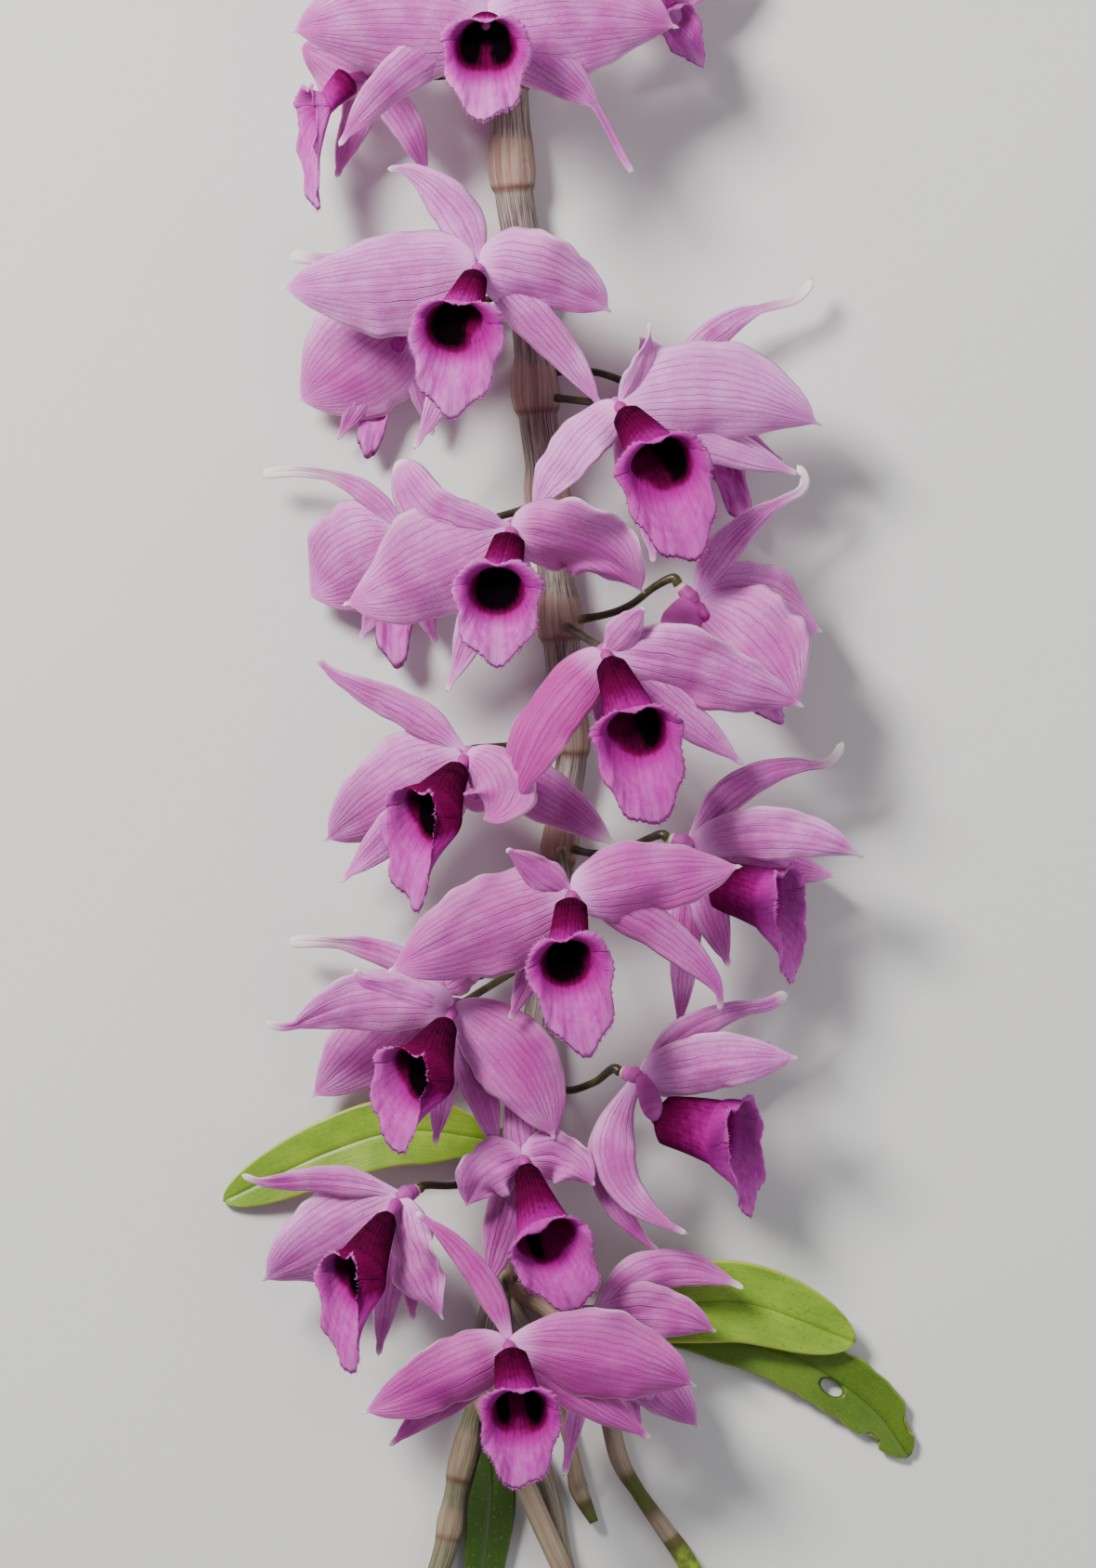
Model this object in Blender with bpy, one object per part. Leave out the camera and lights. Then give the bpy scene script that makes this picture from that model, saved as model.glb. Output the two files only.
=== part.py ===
"""Flowering dendrobium cane, cut and laid on its side.

One jointed cane with its flower stalks and side shoots, four leaves, and twenty-one blooms. A bloom
is two solids: a lilac perianth (three sepals, two petals and the ovary behind them, grown together)
and a purple lip, a rolled tube that opens into a ruffled spade.

Frame: the cane lies on z = 0 along Y with its cut end at +Y, and the blooms look up, towards +Z.
The origin is on the small flat under the swollen node in the middle of the cane.
Every size in the rows below is in millimetres.
"""

import math
from dataclasses import dataclass

import bpy
from mathutils import Matrix, Vector

MM = 0.001
UP = Vector((0.0, 0.0, 1.0))

# Driving dimensions
SEAT_GAP = 0.35          # between two pieces that touch
BLADE_THICKNESS = 1.0    # of a sepal, petal or lip along its middle
LEAF_THICKNESS = 1.4
CANE_SIDES = 8
SHOOT_SIDES = 6
SHEATH_LEAD = 1.5        # length over which the cane swells into a sheath
RIM_DROP = 0.6           # length of the step under a sheath's rim
STALK_SIDES = 5
STALK_RADIUS = 1.1       # of a flower stalk where it leaves the cane
OVARY_RADIUS = 1.7       # of the same stalk where it meets the bloom
STALK_ROOT = 1.2         # of its root from the middle line of the cane
STALK_RUN = 4.5          # length of its straight end
HUB_RADIUS = 3.4         # of the knob that the tepals grow from
HUB_LENGTH = 4.6         # half the length of that knob
HUB_OFFSET = 1.8         # of its middle behind the middle of the bloom
CHIN_RADIUS = 3.2
FOOT_RADII = (1.8, 1.3)  # of the short foot that the lip stands on, at its base and its end
FOOT_SIDES = 4
SEPAL_CUP = 0.16         # fall of a sepal's edges, as a share of its half width
SEPAL_WAVE = 0.3
PETAL_CUP = 0.1
PETAL_WAVE = 1.1
TEPAL_TUCK = 0.5         # how far a tepal's base reaches back past the middle of the bloom
SEPAL_ROWS = 6
PETAL_ROWS = 6
SEPAL_STRIPS = 2
PETAL_STRIPS = 3
LIP_STRIPS = 6
LIP_START = 2.6          # of the lip's base ahead of the middle of the bloom
LIP_ROLL = 5.7           # bend of the rolled base; higher closes the tube further
LIP_DISH = 0.9           # bend of the open blade
LIP_FALL = 2.0           # how far the blade's edge turns back from that
LIP_SHARES = (0.0, 0.16, 0.27, 0.38, 0.54, 0.75, 0.9, 1.0)  # of its length, row by row
LEAF_STEPS = 3           # to each span of a leaf's midrib
LEAF_FOLD = 0.1          # rise of a leaf's edges, as a share of its half width


@dataclass
class Node:
    """A swollen joint of the cane: its sheath ends in a rim at y."""

    y: float
    x: float
    band: float          # radius of the sheath
    below: float         # radius of the bare cane under the rim
    length: float = 11.0  # of the sheath


CANE_TOP = (205.0, -18.5, 5.3)     # y, x, radius of the cut end
CANE_TIP = (-226.0, -38.0, 2.6)
CANE_NODES = (
    Node(190, -18.0, 6.2, 5.2),
    Node(168, -17.0, 6.2, 5.3),
    Node(142, -15.5, 6.2, 5.0, 13),
    Node(113, -11.5, 6.2, 5.0, 12),
    Node(84, -9.3, 6.4, 5.0, 12),
    Node(56, -6.0, 6.2, 4.7, 11),
    Node(25, -3.0, 6.2, 4.8, 11),
    Node(-5, -0.2, 4.9, 4.0, 10),
    Node(-33, -3.8, 5.0, 4.2, 10),
    Node(-60, -6.5, 4.8, 4.1, 9),
    Node(-86, -10.5, 4.8, 4.1, 9),
    Node(-113, -14.0, 4.6, 4.0, 9),
    Node(-142, -19.0, 4.4, 3.8, 9),
    Node(-171, -24.2, 4.2, 2.8, 9),
    Node(-194, -30.0, 3.7, 3.0, 13),
    Node(-209, -32.5, 3.7, 3.4, 8),
)


@dataclass
class Shoot:
    """A slim side shoot: the points of its middle line, and the radius at each."""

    points: tuple
    radii: tuple


SHOOTS = (
    Shoot(
        ((-19, -142, 4), (-4, -152, 5), (7, -170, 6), (12, -188, 5), (17, -197, 4.5), (28, -212, 4),
         (34, -224, 3.4)),
        (2.6, 2.4, 2.4, 2.5, 1.9, 2.4, 2.9),
    ),
    Shoot(
        ((-25, -171, 4), (-20, -180, 7), (-13.5, -193, 9), (-4, -214, 7), (1, -226, 5)),
        (2.6, 2.9, 2.9, 2.8, 2.2),
    ),
    Shoot(
        ((-24, -168, 4), (-13, -180, 3), (-6, -196, 2.6), (-2.5, -214, 2.6), (3, -232, 2.6)),
        (2.2, 2.2, 2.4, 2.4, 1.8),
    ),
    Shoot(
        ((-19, -142, 4), (-8, -162, 3.5), (-1, -184, 3), (1.5, -196, 3), (5.5, -205, 3)),
        (1.8, 1.5, 1.5, 2.6, 1.2),
    ),
)


@dataclass
class Leaf:
    """A strap-shaped leaf: points of its midrib from its grip on the stem to its tip."""

    name: str
    midrib: tuple
    width: float
    grip: float = 0.3    # width of its base, as a share of the whole
    spread: float = 0.3  # share of its length where it reaches its full width
    blunt: float = 4.0   # the higher, the blunter its tip


LEAVES = (
    Leaf("leaf_left", ((-18, -106, 5), (-42, -103, 6.5), (-62, -108, 6), (-91, -121.5, 1.2)), 18,
         0.4, 0.3, 6.0),
    Leaf("leaf_right_front", ((1, -160, 8.1), (15, -151.5, 10), (43, -147.5, 9), (73.5, -158, 6)), 22,
         0.12, 0.62, 7.0),
    Leaf("leaf_right_rear", ((2, -157, 2.9), (20, -154, 2.4), (54, -162, 3), (88, -188, 1.2)), 17,
         0.15, 0.5, 5.0),
    Leaf("leaf_bottom", ((-21.1, -184, 2.2), (-21.1, -200, 3), (-26, -240, 1.2)), 14, 0.4, 0.6, 3.0),
)


@dataclass
class Tepal:
    """A petal or sepal, placed from the middle of its bloom."""

    tip: tuple
    width: float
    bow: float = 0.0     # how far its middle swings to the left of the way to the tip
    lift: float = 2.0    # how far its middle rises above the straight way to the tip
    roll: float = 0.0    # degrees that it is turned about its own length
    twist: float = 0.0   # further degrees from base to tip
    hook: tuple = (0.0, 0.0, 0.0)  # how far the last third bends away


@dataclass
class Lip:
    """The rolled lip: its tip, width, and the side that its opening faces."""

    tip: tuple
    width: float
    face: tuple = (0.0, 0.0, 1.0)
    lift: float = 4.0


@dataclass
class Bloom:
    """One flower: where it sits, its five tepals, its lip and its stalk from the cane."""

    name: str
    centre: tuple
    node_y: float        # where its stalk leaves the cane
    sepals: tuple        # the upper one, then the two side ones
    petals: tuple
    lip: Lip
    stalk: tuple = ()    # points on the way from the cane to the bloom
    chin: tuple = ()     # tip of the sac under the side sepals, where it shows


BLOOMS = (
    Bloom(
        "bloom_01", (-22, 182, 44), 190,
        (Tepal((-4, 46, -5), 15), Tepal((-39, -32, -8), 13, 1), Tepal((38, -38, -9), 12, 5)),
        (Tepal((-52, -1, -6), 29, -3, 4), Tepal((50, 0, -6), 29, 3, 4)),
        Lip((0, -25, 14), 25),
        ((-20, 186, 26),),
    ),
    Bloom(
        "bloom_02", (-53, 170, 20.5), 168,
        (Tepal((-9, 32, -6), 11), Tepal((15, -26, -8), 10, 2), Tepal((-9, -26, -11), 9.5)),
        (Tepal((-18, 9, -6), 19, 0, 1), Tepal((24, 17, -5), 16, 0, 3)),
        Lip((-13, -35, 2), 16, (-0.8, 0.1, 0.6), 6),
        ((-38, 170, 10),),
    ),
    Bloom(
        "bloom_03", (20, 194, 20), 190,
        (Tepal((4, 34, -6), 11), Tepal((12, -20, -9), 9), Tepal((-14, -18, -8), 11)),
        (Tepal((22, 8, -5), 18), Tepal((-22, 8, -4), 16)),
        Lip((13, -21, 5), 17, (0.5, 0, 0.8)),
        ((8, 193, 12),),
    ),
    Bloom(
        "bloom_04", (-24.5, 120, 38), 113,
        (
            Tepal((-23.5, 28, -4), 10.5, -5),
            Tepal((-17, -47, -9), 11, 2, 0),
            Tepal((32.5, -37, -8), 12, 2),
        ),
        (Tepal((-52, -5, -5), 22, 3, 4), Tepal((35, -11.5, -3), 18, 4, 4)),
        Lip((-7, -38.5, 8), 24.5),
        ((-20, 120, 22),),
    ),
    Bloom(
        "bloom_05", (-43, 107, 16), 113,
        (
            Tepal((-33, 15, -4), 8, -2),
            Tepal((-19, -31, -9), 11),
            Tepal((6, -30, -9), 10),
        ),
        (Tepal((-29, -22, -8), 26, 0, 3), Tepal((18, 12, -5), 14)),
        Lip((-11, -37, 2), 19),
        ((-32, 108, 9),),
    ),
    Bloom(
        "bloom_06", (12, 84.5, 34), 84,
        (
            Tepal((8, 22, 2), 9, -4),
            Tepal((47, -17.5, -10), 13),
            Tepal((9, -41, -9), 12, 2, 0),
        ),
        (Tepal((53, -5, -5), 23, 5, 4), Tepal((-23, -28, -3), 15, 1, 3)),
        Lip((18.5, -40.5, 8), 24.5),
        ((5, 86, 17), (9, 85, 22)),
    ),
    Bloom(
        "bloom_07", (26, 84, 13), 90,
        (
            Tepal((41, 32, -3), 7, 6, 2, hook=(2, 3, 0)),
            Tepal((30, -14, -6), 11),
            Tepal((6, -28, -7), 10),
        ),
        (Tepal((19, 15.5, -1), 14, 2), Tepal((-9, 20, -5), 13)),
        Lip((19, -27, 0), 16),
        ((6, 94, 8), (16, 91, 8)),
    ),
    Bloom(
        "bloom_08", (-16, 52, 42), 56,
        (
            Tepal((-31, 14, -3), 11, 0, 2, hook=(0, 4, 0)),
            Tepal((-17, -42, -9), 11, 0, 0),
            Tepal((2, -32, -9), 10, 0, 0),
        ),
        (Tepal((-44, -19, -5), 25, 0, 4), Tepal((36, -18, -3), 16, 6, 4)),
        Lip((-4, -34.5, 8), 23),
        ((-12, 59, 26),),
    ),
    Bloom(
        "bloom_09", (-44, 50, 15), 56,
        (
            Tepal((-38, 17, -4), 7, -6),
            Tepal((-12, -26, -9), 10),
            Tepal((8, -27, -9), 10),
        ),
        (Tepal((-23, -17, -8), 26, 0, 3), Tepal((20, 10, -5), 15)),
        Lip((-2, -33, 2), 19),
        ((-32, 53, 8),),
    ),
    Bloom(
        "bloom_10", (32, 33.5, 23), 25,
        (
            Tepal((33, 35, -2), 9, 1, 2, hook=(1, 4, 0)),
            Tepal((27, -25, 8), 13, 2, 5),
            Tepal((22, -28, -13), 12),
        ),
        (Tepal((32, -11, 11), 25, 3, 7), Tepal((30, 4, -14), 20, 0, -3)),
        Lip((25, -33, -6), 13, (0.9, 0.4, 0.2), 2),
        ((8.5, 31, 14), (15, 33.5, 17), (21, 38, 20), (27, 39, 22)),
        (-5, -6, 0),
    ),
    Bloom(
        "bloom_11", (8.5, 20.5, 46), 25,
        (
            Tepal((10, 12, 9), 10, 0, 1),
            Tepal((36, -29, -9), 13),
            Tepal((3, -38, -10), 11, 0, 0),
        ),
        (Tepal((51.5, -14.5, -4), 20, 4, 4), Tepal((-25, -42, -1), 12, -5, 4, 30)),
        Lip((12, -44.5, 8), 23.5),
        ((6, 24, 30),),
    ),
    Bloom(
        "bloom_12", (-28, -6, 32), -5,
        (
            Tepal((-40, 20, -3), 10, -4, 2, hook=(-1, 3, 0)),
            Tepal((-33, -33, -9), 13),
            Tepal((40, -24, -7), 16, 2, 3),
        ),
        (Tepal((-37, -22, -4), 25, 0, 4), Tepal((14, -16, 3), 17)),
        Lip((-12, -39.5, 6), 21, (-0.6, 0.1, 0.8), 5),
        ((-8, -2, 12), (-16, -3, 16), (-24, -3, 20)),
    ),
    Bloom(
        "bloom_13", (31, -29, 24), -33,
        (
            Tepal((43, 21, -3), 8, 6.5, 2, hook=(1.5, 3, 0)),
            Tepal((10, -32, 3), 12),
            Tepal((-3, -49, -10), 10),
        ),
        (Tepal((44.5, -3, 9), 13, 5, 8), Tepal((38, -8, -14), 12, 0, -4)),
        Lip((23, -36, -3), 20, (0.75, 0.45, 0.12), 9),
        ((6, -31, 14), (15, -29, 18), (22, -26, 22)),
    ),
    Bloom(
        "bloom_14", (-0.5, -41.5, 50), -33,
        (
            Tepal((-17, 12, 7), 10, 0, 1),
            Tepal((42.5, -29, -8), 12, 5),
            Tepal((-16, -33, -10), 11, 0, 0),
        ),
        (Tepal((-48, -20, -4), 25, -1, 4), Tepal((44.5, 7.5, -3), 19, 0, 4)),
        Lip((4.5, -41, 8), 22),
        ((-2, -38, 34),),
    ),
    Bloom(
        "bloom_15", (-31, -71, 33), -60,
        (
            Tepal((-28, 8, -2), 9),
            Tepal((-5, -36, -10), 10, 0, 0),
            Tepal((12.5, -39.5, -9), 11, 0, 0),
        ),
        (Tepal((-48, -9, -5), 14, -6, 4), Tepal((26.5, -34.5, -3), 19, 4, 4)),
        Lip((-13, -37.5, 6), 21, (-0.6, 0.1, 0.8), 5),
        ((-26, -68, 18),),
    ),
    Bloom(
        "bloom_16", (-35, -65, 14), -60,
        (
            Tepal((-40, 11, -3), 7, -3),
            Tepal((-16, -33, -8), 10),
            Tepal((-5, -29, -8), 9),
        ),
        (Tepal((-33.5, -30, -7), 22, 0, 3), Tepal((14, 10, -4), 12)),
        Lip((-12, -28, 1), 15),
        ((-26, -64, 7),),
    ),
    Bloom(
        "bloom_17", (18, -89, 26), -86,
        (
            Tepal((40, 20, -3), 8, 5.5, 2, hook=(1, 2, 0)),
            Tepal((12.5, -41, 2), 12, -13),
            Tepal((6, -47, -9), 10, -12),
        ),
        (Tepal((40.5, 5.5, 10), 15, 2, 8), Tepal((34, 9, -14), 14, 0, -4)),
        Lip((26, -36.5, -3), 21, (0.75, 0.45, 0.12), 9),
        ((-3, -92, 13), (5, -90.5, 18), (11, -87, 22)),
        (-6, -13, 0),
    ),
    Bloom(
        "bloom_18", (-45, -120, 26), -113,
        (
            Tepal((-42, 0, -3), 8, -4.5, 2, hook=(0, 2, 0)),
            Tepal((-6, -42, -10), 10, 0, 0),
            Tepal((3, -33, -14), 10, 0, 0),
        ),
        (Tepal((-36, -22, -3), 21, 0, 4), Tepal((12, -32, 3), 13)),
        Lip((-11.5, -45, 4), 19, (-0.6, 0.1, 0.8), 6),
        ((-28, -116.5, 14), (-36, -116, 19)),
    ),
    Bloom(
        "bloom_19", (-13, -110, 26), -113,
        (
            Tepal((-3, 20, -4), 9),
            Tepal((-10, -35.5, -8), 12, 0, 0),
            Tepal((11, -32, -9), 10, 0, 0),
        ),
        (Tepal((19, -7, 2), 11, 4), Tepal((-15, -12.5, 2), 14)),
        Lip((15.5, -38.5, 7), 22),
        ((-13, -109, 14),),
    ),
    Bloom(
        "bloom_20", (-16.5, -157.5, 40), -142,
        (
            Tepal((-24.5, 34.5, -3), 8, -4),
            Tepal((-31.5, -27, -9), 12),
            Tepal((37, -25, -9), 13),
        ),
        (Tepal((-38.5, -18, -4), 15, 0, 4), Tepal((46, -3, -3), 16, 2, 4)),
        Lip((3, -37, 8), 21),
        ((-16, -154, 24),),
    ),
    Bloom(
        "bloom_21", (6.5, -151, 20), -142,
        (
            Tepal((39, 7, -2), 13, 9),
            Tepal((-8.5, -42.5, -9), 7),
            Tepal((12, -30, -9), 10),
        ),
        (Tepal((31, -4, -2), 14, 3), Tepal((26.5, -29.5, -5), 17)),
        Lip((14, -21, 4), 15),
        ((-2, -148, 12),),
    ),
)


# Curves

def between(low, high, share):
    """The value a share of the way from low to high."""
    return low + (high - low) * share


def ease(value):
    """Zero below 0, one above 1, and a smooth step between."""
    value = min(1.0, max(0.0, value))
    return value * value * (3.0 - 2.0 * value)


def arch(start, middle, end, share):
    """A point on the parabola from start to end that passes middle halfway."""
    control = 2.0 * middle - 0.5 * (start + end)
    other = 1.0 - share
    return other * other * start + 2.0 * share * other * control + share * share * end


def spread(values, count):
    """The values stretched over count points, in straight lines between them."""
    stretched = []
    for i in range(count):
        place = i / (count - 1) * (len(values) - 1)
        low = min(int(place), len(values) - 2)
        stretched.append(between(values[low], values[low + 1], place - low))
    return stretched


def smooth_line(points, steps):
    """A list of points on the smooth curve through the given ones, with steps to each span."""
    ends = [2.0 * points[0] - points[1]] + points + [2.0 * points[-1] - points[-2]]
    line = []
    for before, first, second, after in zip(ends, ends[1:], ends[2:], ends[3:]):
        for step in range(steps):
            t = step / steps
            line.append(
                0.5 * (
                    2.0 * first
                    + (second - before) * t
                    + (2.0 * before - 5.0 * first + 4.0 * second - after) * t * t
                    + (3.0 * first - before - 3.0 * second + after) * t * t * t
                )
            )
    return line + [points[-1]]


# Meshes

def make_object(name, points, faces, material=None):
    """A mesh object from points in millimetres."""
    mesh = bpy.data.meshes.new(name)
    mesh.from_pydata([point * MM for point in points], [], faces)
    mesh.update()
    obj = bpy.data.objects.new(name, mesh)
    bpy.context.scene.collection.objects.link(obj)
    if material:
        mesh.materials.append(material)
    return obj


def lens_sheet(grid, thickness):
    """Points and triangles of a thin closed blade whose two faces share the rim of the grid.

    Both faces are split into triangles alike, so they never cross. The last row may be one point.
    """
    rows, columns = len(grid), len(grid[0])
    pointed = (grid[-1][0] - grid[-1][-1]).length < 1e-6
    points, upper, lower = [], {}, {}
    for i, row in enumerate(grid):
        for j, point in enumerate(row):
            if i == rows - 1 and pointed and j > 0:
                upper[i, j] = lower[i, j] = upper[i, 0]
                continue
            if i in (0, rows - 1) or j in (0, columns - 1):
                upper[i, j] = lower[i, j] = len(points)
                points.append(point)
                continue
            along = grid[i + 1][j] - grid[i - 1][j]
            across = row[j + 1] - row[j - 1]
            normal = across.cross(along).normalized() * (0.5 * thickness)
            upper[i, j] = len(points)
            lower[i, j] = len(points) + 1
            points += [point + normal, point - normal]
    faces = []
    for i in range(rows - 1):
        for j in range(columns - 1):
            corners = ((i, j), (i, j + 1), (i + 1, j + 1), (i + 1, j))
            left_half = 2 * j < columns - 1
            if left_half == (i < rows - 2):
                halves = ((0, 1, 2), (0, 2, 3))
            else:
                halves = ((0, 1, 3), (1, 2, 3))
            if i == rows - 2 and pointed:
                halves = ((0, 1, 2),)
            for a, b, c in halves:
                faces.append((upper[corners[a]], upper[corners[b]], upper[corners[c]]))
                faces.append((lower[corners[a]], lower[corners[c]], lower[corners[b]]))
    return points, faces


def tube(line, radii, sides):
    """Points and faces of a closed tube along a line, with one radius for each point."""
    points, faces = [], []
    for i, centre in enumerate(line):
        along = (line[min(i + 1, len(line) - 1)] - line[max(i - 1, 0)]).normalized()
        across = along.cross(UP)
        if across.length < 0.2:
            across = Vector((1.0, 0.0, 0.0))
        across = (across - across.dot(along) * along).normalized()
        rise = across.cross(along)
        for k in range(sides):
            angle = 2.0 * math.pi * (k + 0.5) / sides
            points.append(centre + radii[i] * (math.sin(angle) * across - math.cos(angle) * rise))
    for i in range(len(line) - 1):
        for k in range(sides):
            first, second = i * sides + k, i * sides + (k + 1) % sides
            faces.append((first, first + sides, second + sides, second))
    last = (len(line) - 1) * sides
    faces.append(tuple(range(sides)))
    faces.append(tuple(last + k for k in reversed(range(sides))))
    return points, faces


def knob(centre, axis, radius, length, segments=7, rings=5):
    """Points and faces of a rounded knob, longer along its axis."""
    turn = UP.rotation_difference(axis).to_matrix()
    points = [centre + turn @ Vector((0, 0, -length))]
    for ring in range(1, rings):
        polar = math.pi * ring / rings
        for k in range(segments):
            angle = 2.0 * math.pi * k / segments
            flat = radius * math.sin(polar)
            local = (flat * math.cos(angle), flat * math.sin(angle), -length * math.cos(polar))
            points.append(centre + turn @ Vector(local))
    points.append(centre + turn @ Vector((0, 0, length)))
    faces = []
    for k in range(segments):
        after = (k + 1) % segments
        faces.append((0, 1 + after, 1 + k))
        for ring in range(rings - 2):
            low = 1 + ring * segments
            faces.append((low + k, low + after, low + segments + after, low + segments + k))
        high = 1 + (rings - 2) * segments
        faces.append((high + k, high + after, len(points) - 1))
    return points, faces


def fuse(name, pieces, material):
    """One solid from overlapping ones, by a Boolean union on a collection."""
    objects = [make_object(f"{name}_{number}", *piece) for number, piece in enumerate(pieces)]
    group = bpy.data.collections.new(name)
    bpy.context.scene.collection.children.link(group)
    for obj in objects[1:]:
        bpy.context.scene.collection.objects.unlink(obj)
        group.objects.link(obj)
    union = objects[0].modifiers.new("union", "BOOLEAN")
    union.operation = "UNION"
    union.operand_type = "COLLECTION"
    union.collection = group
    union.solver = "EXACT"
    bpy.context.view_layer.update()
    graph = bpy.context.evaluated_depsgraph_get()
    mesh = bpy.data.meshes.new_from_object(objects[0].evaluated_get(graph))
    for obj in objects:
        bpy.data.objects.remove(obj)
    bpy.data.collections.remove(group)
    mesh.name = name
    mesh.materials.clear()
    mesh.materials.append(material)
    fused = bpy.data.objects.new(name, mesh)
    bpy.context.scene.collection.objects.link(fused)
    return fused


def paint(name, colour, roughness):
    """A plain material for one part."""
    material = bpy.data.materials.new(name)
    material.use_nodes = True
    shader = material.node_tree.nodes["Principled BSDF"]
    shader.inputs["Base Color"].default_value = (*colour, 1.0)
    shader.inputs["Roughness"].default_value = roughness
    shader.inputs["Metallic"].default_value = 0.0
    return material


# Blades

def petal_width(share):
    """A petal: a narrow claw, broad before its middle, and a short point."""
    return 0.12 * (1.0 - share) + math.sin(math.pi * share ** 0.82) ** 0.9


def sepal_width(share):
    """A sepal: even for most of its length, then drawn out to a point."""
    return (0.28 + 0.72 * ease(share / 0.42)) * (1.0 - share ** 2.6) ** 0.8


def tepal_grid(start, tepal, rows, strips, width_of, cup, wave):
    """The middle surface of a petal or sepal, as rows of points from base to tip."""
    tip = start + Vector(tepal.tip)
    hook = Vector(tepal.hook)
    chord = tip - start
    left = UP.cross(chord).normalized()
    middle = 0.5 * (start + tip) + tepal.bow * left + tepal.lift * UP
    line = [
        arch(start, middle, tip, row / rows) + hook * ease((row / rows - 0.65) / 0.35)
        for row in range(rows + 1)
    ]
    grid = []
    for row, point in enumerate(line):
        share = row / rows
        along = (line[min(row + 1, rows)] - line[max(row - 1, 0)]).normalized()
        turn = Matrix.Rotation(math.radians(tepal.roll + tepal.twist * share), 3, along)
        across = turn @ along.cross(UP).normalized()
        face = across.cross(along)
        half = 0.5 * tepal.width * width_of(share)
        cells = []
        for column in range(strips + 1):
            u = 2.0 * column / strips - 1.0
            ripple = wave * math.sin(9.0 * share + 2.2 * u) * abs(u) * math.sin(math.pi * share)
            cells.append(point + u * half * across + (ripple - cup * half * u * u) * face)
        grid.append(cells if row < rows else [point] * (strips + 1))
    return grid


def lip_frame(lip):
    """(direction to the lip's tip, direction that its opening faces), at right angles."""
    ahead = Vector(lip.tip).normalized()
    face = Vector(lip.face)
    return ahead, (face - face.dot(ahead) * ahead).normalized()


def foot_line(bloom):
    """(base, end) of the short foot under the lip's base, a small gap short of it."""
    ahead, face = lip_frame(bloom.lip)
    base = Vector(bloom.centre) + LIP_START * ahead
    return base - FOOT_RADII[1] * face, base + (HUB_RADIUS + 0.5 * BLADE_THICKNESS) * face


def lip_grid(bloom):
    """The middle surface of the lip: a tube at its base, rolled out to a ruffled spade."""
    lip = bloom.lip
    ahead, face = lip_frame(lip)
    side = ahead.cross(face)
    tip = Vector(bloom.centre) + Vector(lip.tip)
    start = foot_line(bloom)[1] + SEAT_GAP * face
    middle = 0.5 * (start + tip) + lip.lift * face
    grid = []
    for share in LIP_SHARES:
        point = arch(start, middle, tip, share)
        slope = arch(start, middle, tip, share + 0.01) - arch(start, middle, tip, share - 0.01)
        rise = side.cross(slope.normalized())
        half = lip.width * (0.45 + 0.24 * share) * (1.0 - share ** 3.2) ** 0.6
        rolled = 1.0 - ease((share - 0.18) / 0.26)
        fall = LIP_FALL * ease((share - 0.5) / 0.5)
        bend = (between(LIP_DISH, LIP_ROLL, rolled) - fall) / lip.width
        cells = []
        for column in range(LIP_STRIPS + 1):
            u = 2.0 * column / LIP_STRIPS - 1.0
            turn = bend * u * half
            ratio = math.sin(turn) / turn if abs(turn) > 1e-6 else 1.0
            lift = (1.0 - math.cos(turn)) / bend if abs(bend) > 1e-6 else 0.0
            cells.append(point + u * half * ratio * side + lift * rise)
        grid.append(cells if share < 1.0 else [point] * (LIP_STRIPS + 1))
    return grid


def leaf_width(share, leaf):
    """A strap leaf: a narrow grip, even sides, and a blunt tip."""
    return between(leaf.grip, 1.0, ease(share / leaf.spread)) * (1.0 - share ** leaf.blunt) ** 0.6


def leaf_grid(leaf):
    """The middle surface of a leaf, folded a little along its midrib."""
    points = [Vector(point) for point in leaf.midrib]
    line = smooth_line(points, LEAF_STEPS)
    last = len(line) - 1
    grid = []
    for row, point in enumerate(line):
        along = (line[min(row + 1, last)] - line[max(row - 1, 0)]).normalized()
        across = along.cross(UP).normalized()
        half = 0.5 * leaf.width * leaf_width(row / last, leaf)
        cells = []
        for u in (-1.0, -0.5, 0.0, 0.5, 1.0):
            cells.append(point + u * half * across + LEAF_FOLD * half * abs(u) * UP)
        grid.append(cells if row < last else [point] * 5)
    return grid


# The cane

def cane_rings():
    """(centre, radius) of each ring of the cane, from the cut end down."""
    tilt = math.cos(math.pi / CANE_SIDES)
    top_y, top_x, top_radius = CANE_TOP
    rings = [(Vector((top_x, top_y, CANE_NODES[0].band * tilt)), top_radius)]
    above = top_radius
    for number, node in enumerate(CANE_NODES):
        before = CANE_NODES[number - 1] if number else Node(top_y, top_x, node.band, top_radius)
        share = node.length / (before.y - node.y)
        start_x = between(node.x, before.x, share)
        height = node.band * tilt
        start_y = node.y + node.length
        rings.append((Vector((start_x, start_y + SHEATH_LEAD, height)), above))
        rings.append((Vector((between(node.x, start_x, 0.9), start_y, height)), node.band))
        rings.append((Vector((node.x, node.y, height)), node.band))
        rings.append((Vector((node.x, node.y - RIM_DROP, height)), node.below))
        above = node.below
    tip_y, tip_x, tip_radius = CANE_TIP
    rings.append((Vector((tip_x, tip_y, tip_radius * 1.1)), tip_radius))
    return rings


def cane_centre(y):
    """The middle of the cane at a height y along it."""
    rings = cane_rings()
    for (first, _), (second, _) in zip(rings, rings[1:]):
        if first.y >= y >= second.y:
            return first.lerp(second, (first.y - y) / max(first.y - second.y, 1e-6))
    return rings[-1][0]


def stalk_end(bloom):
    """(direction from the bloom to its stalk, end point of the stalk against the ovary)."""
    centre = Vector(bloom.centre)
    back = (Vector(bloom.stalk[-1]) - centre).normalized()
    return back, centre + (HUB_OFFSET + HUB_LENGTH + SEAT_GAP) * back


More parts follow.
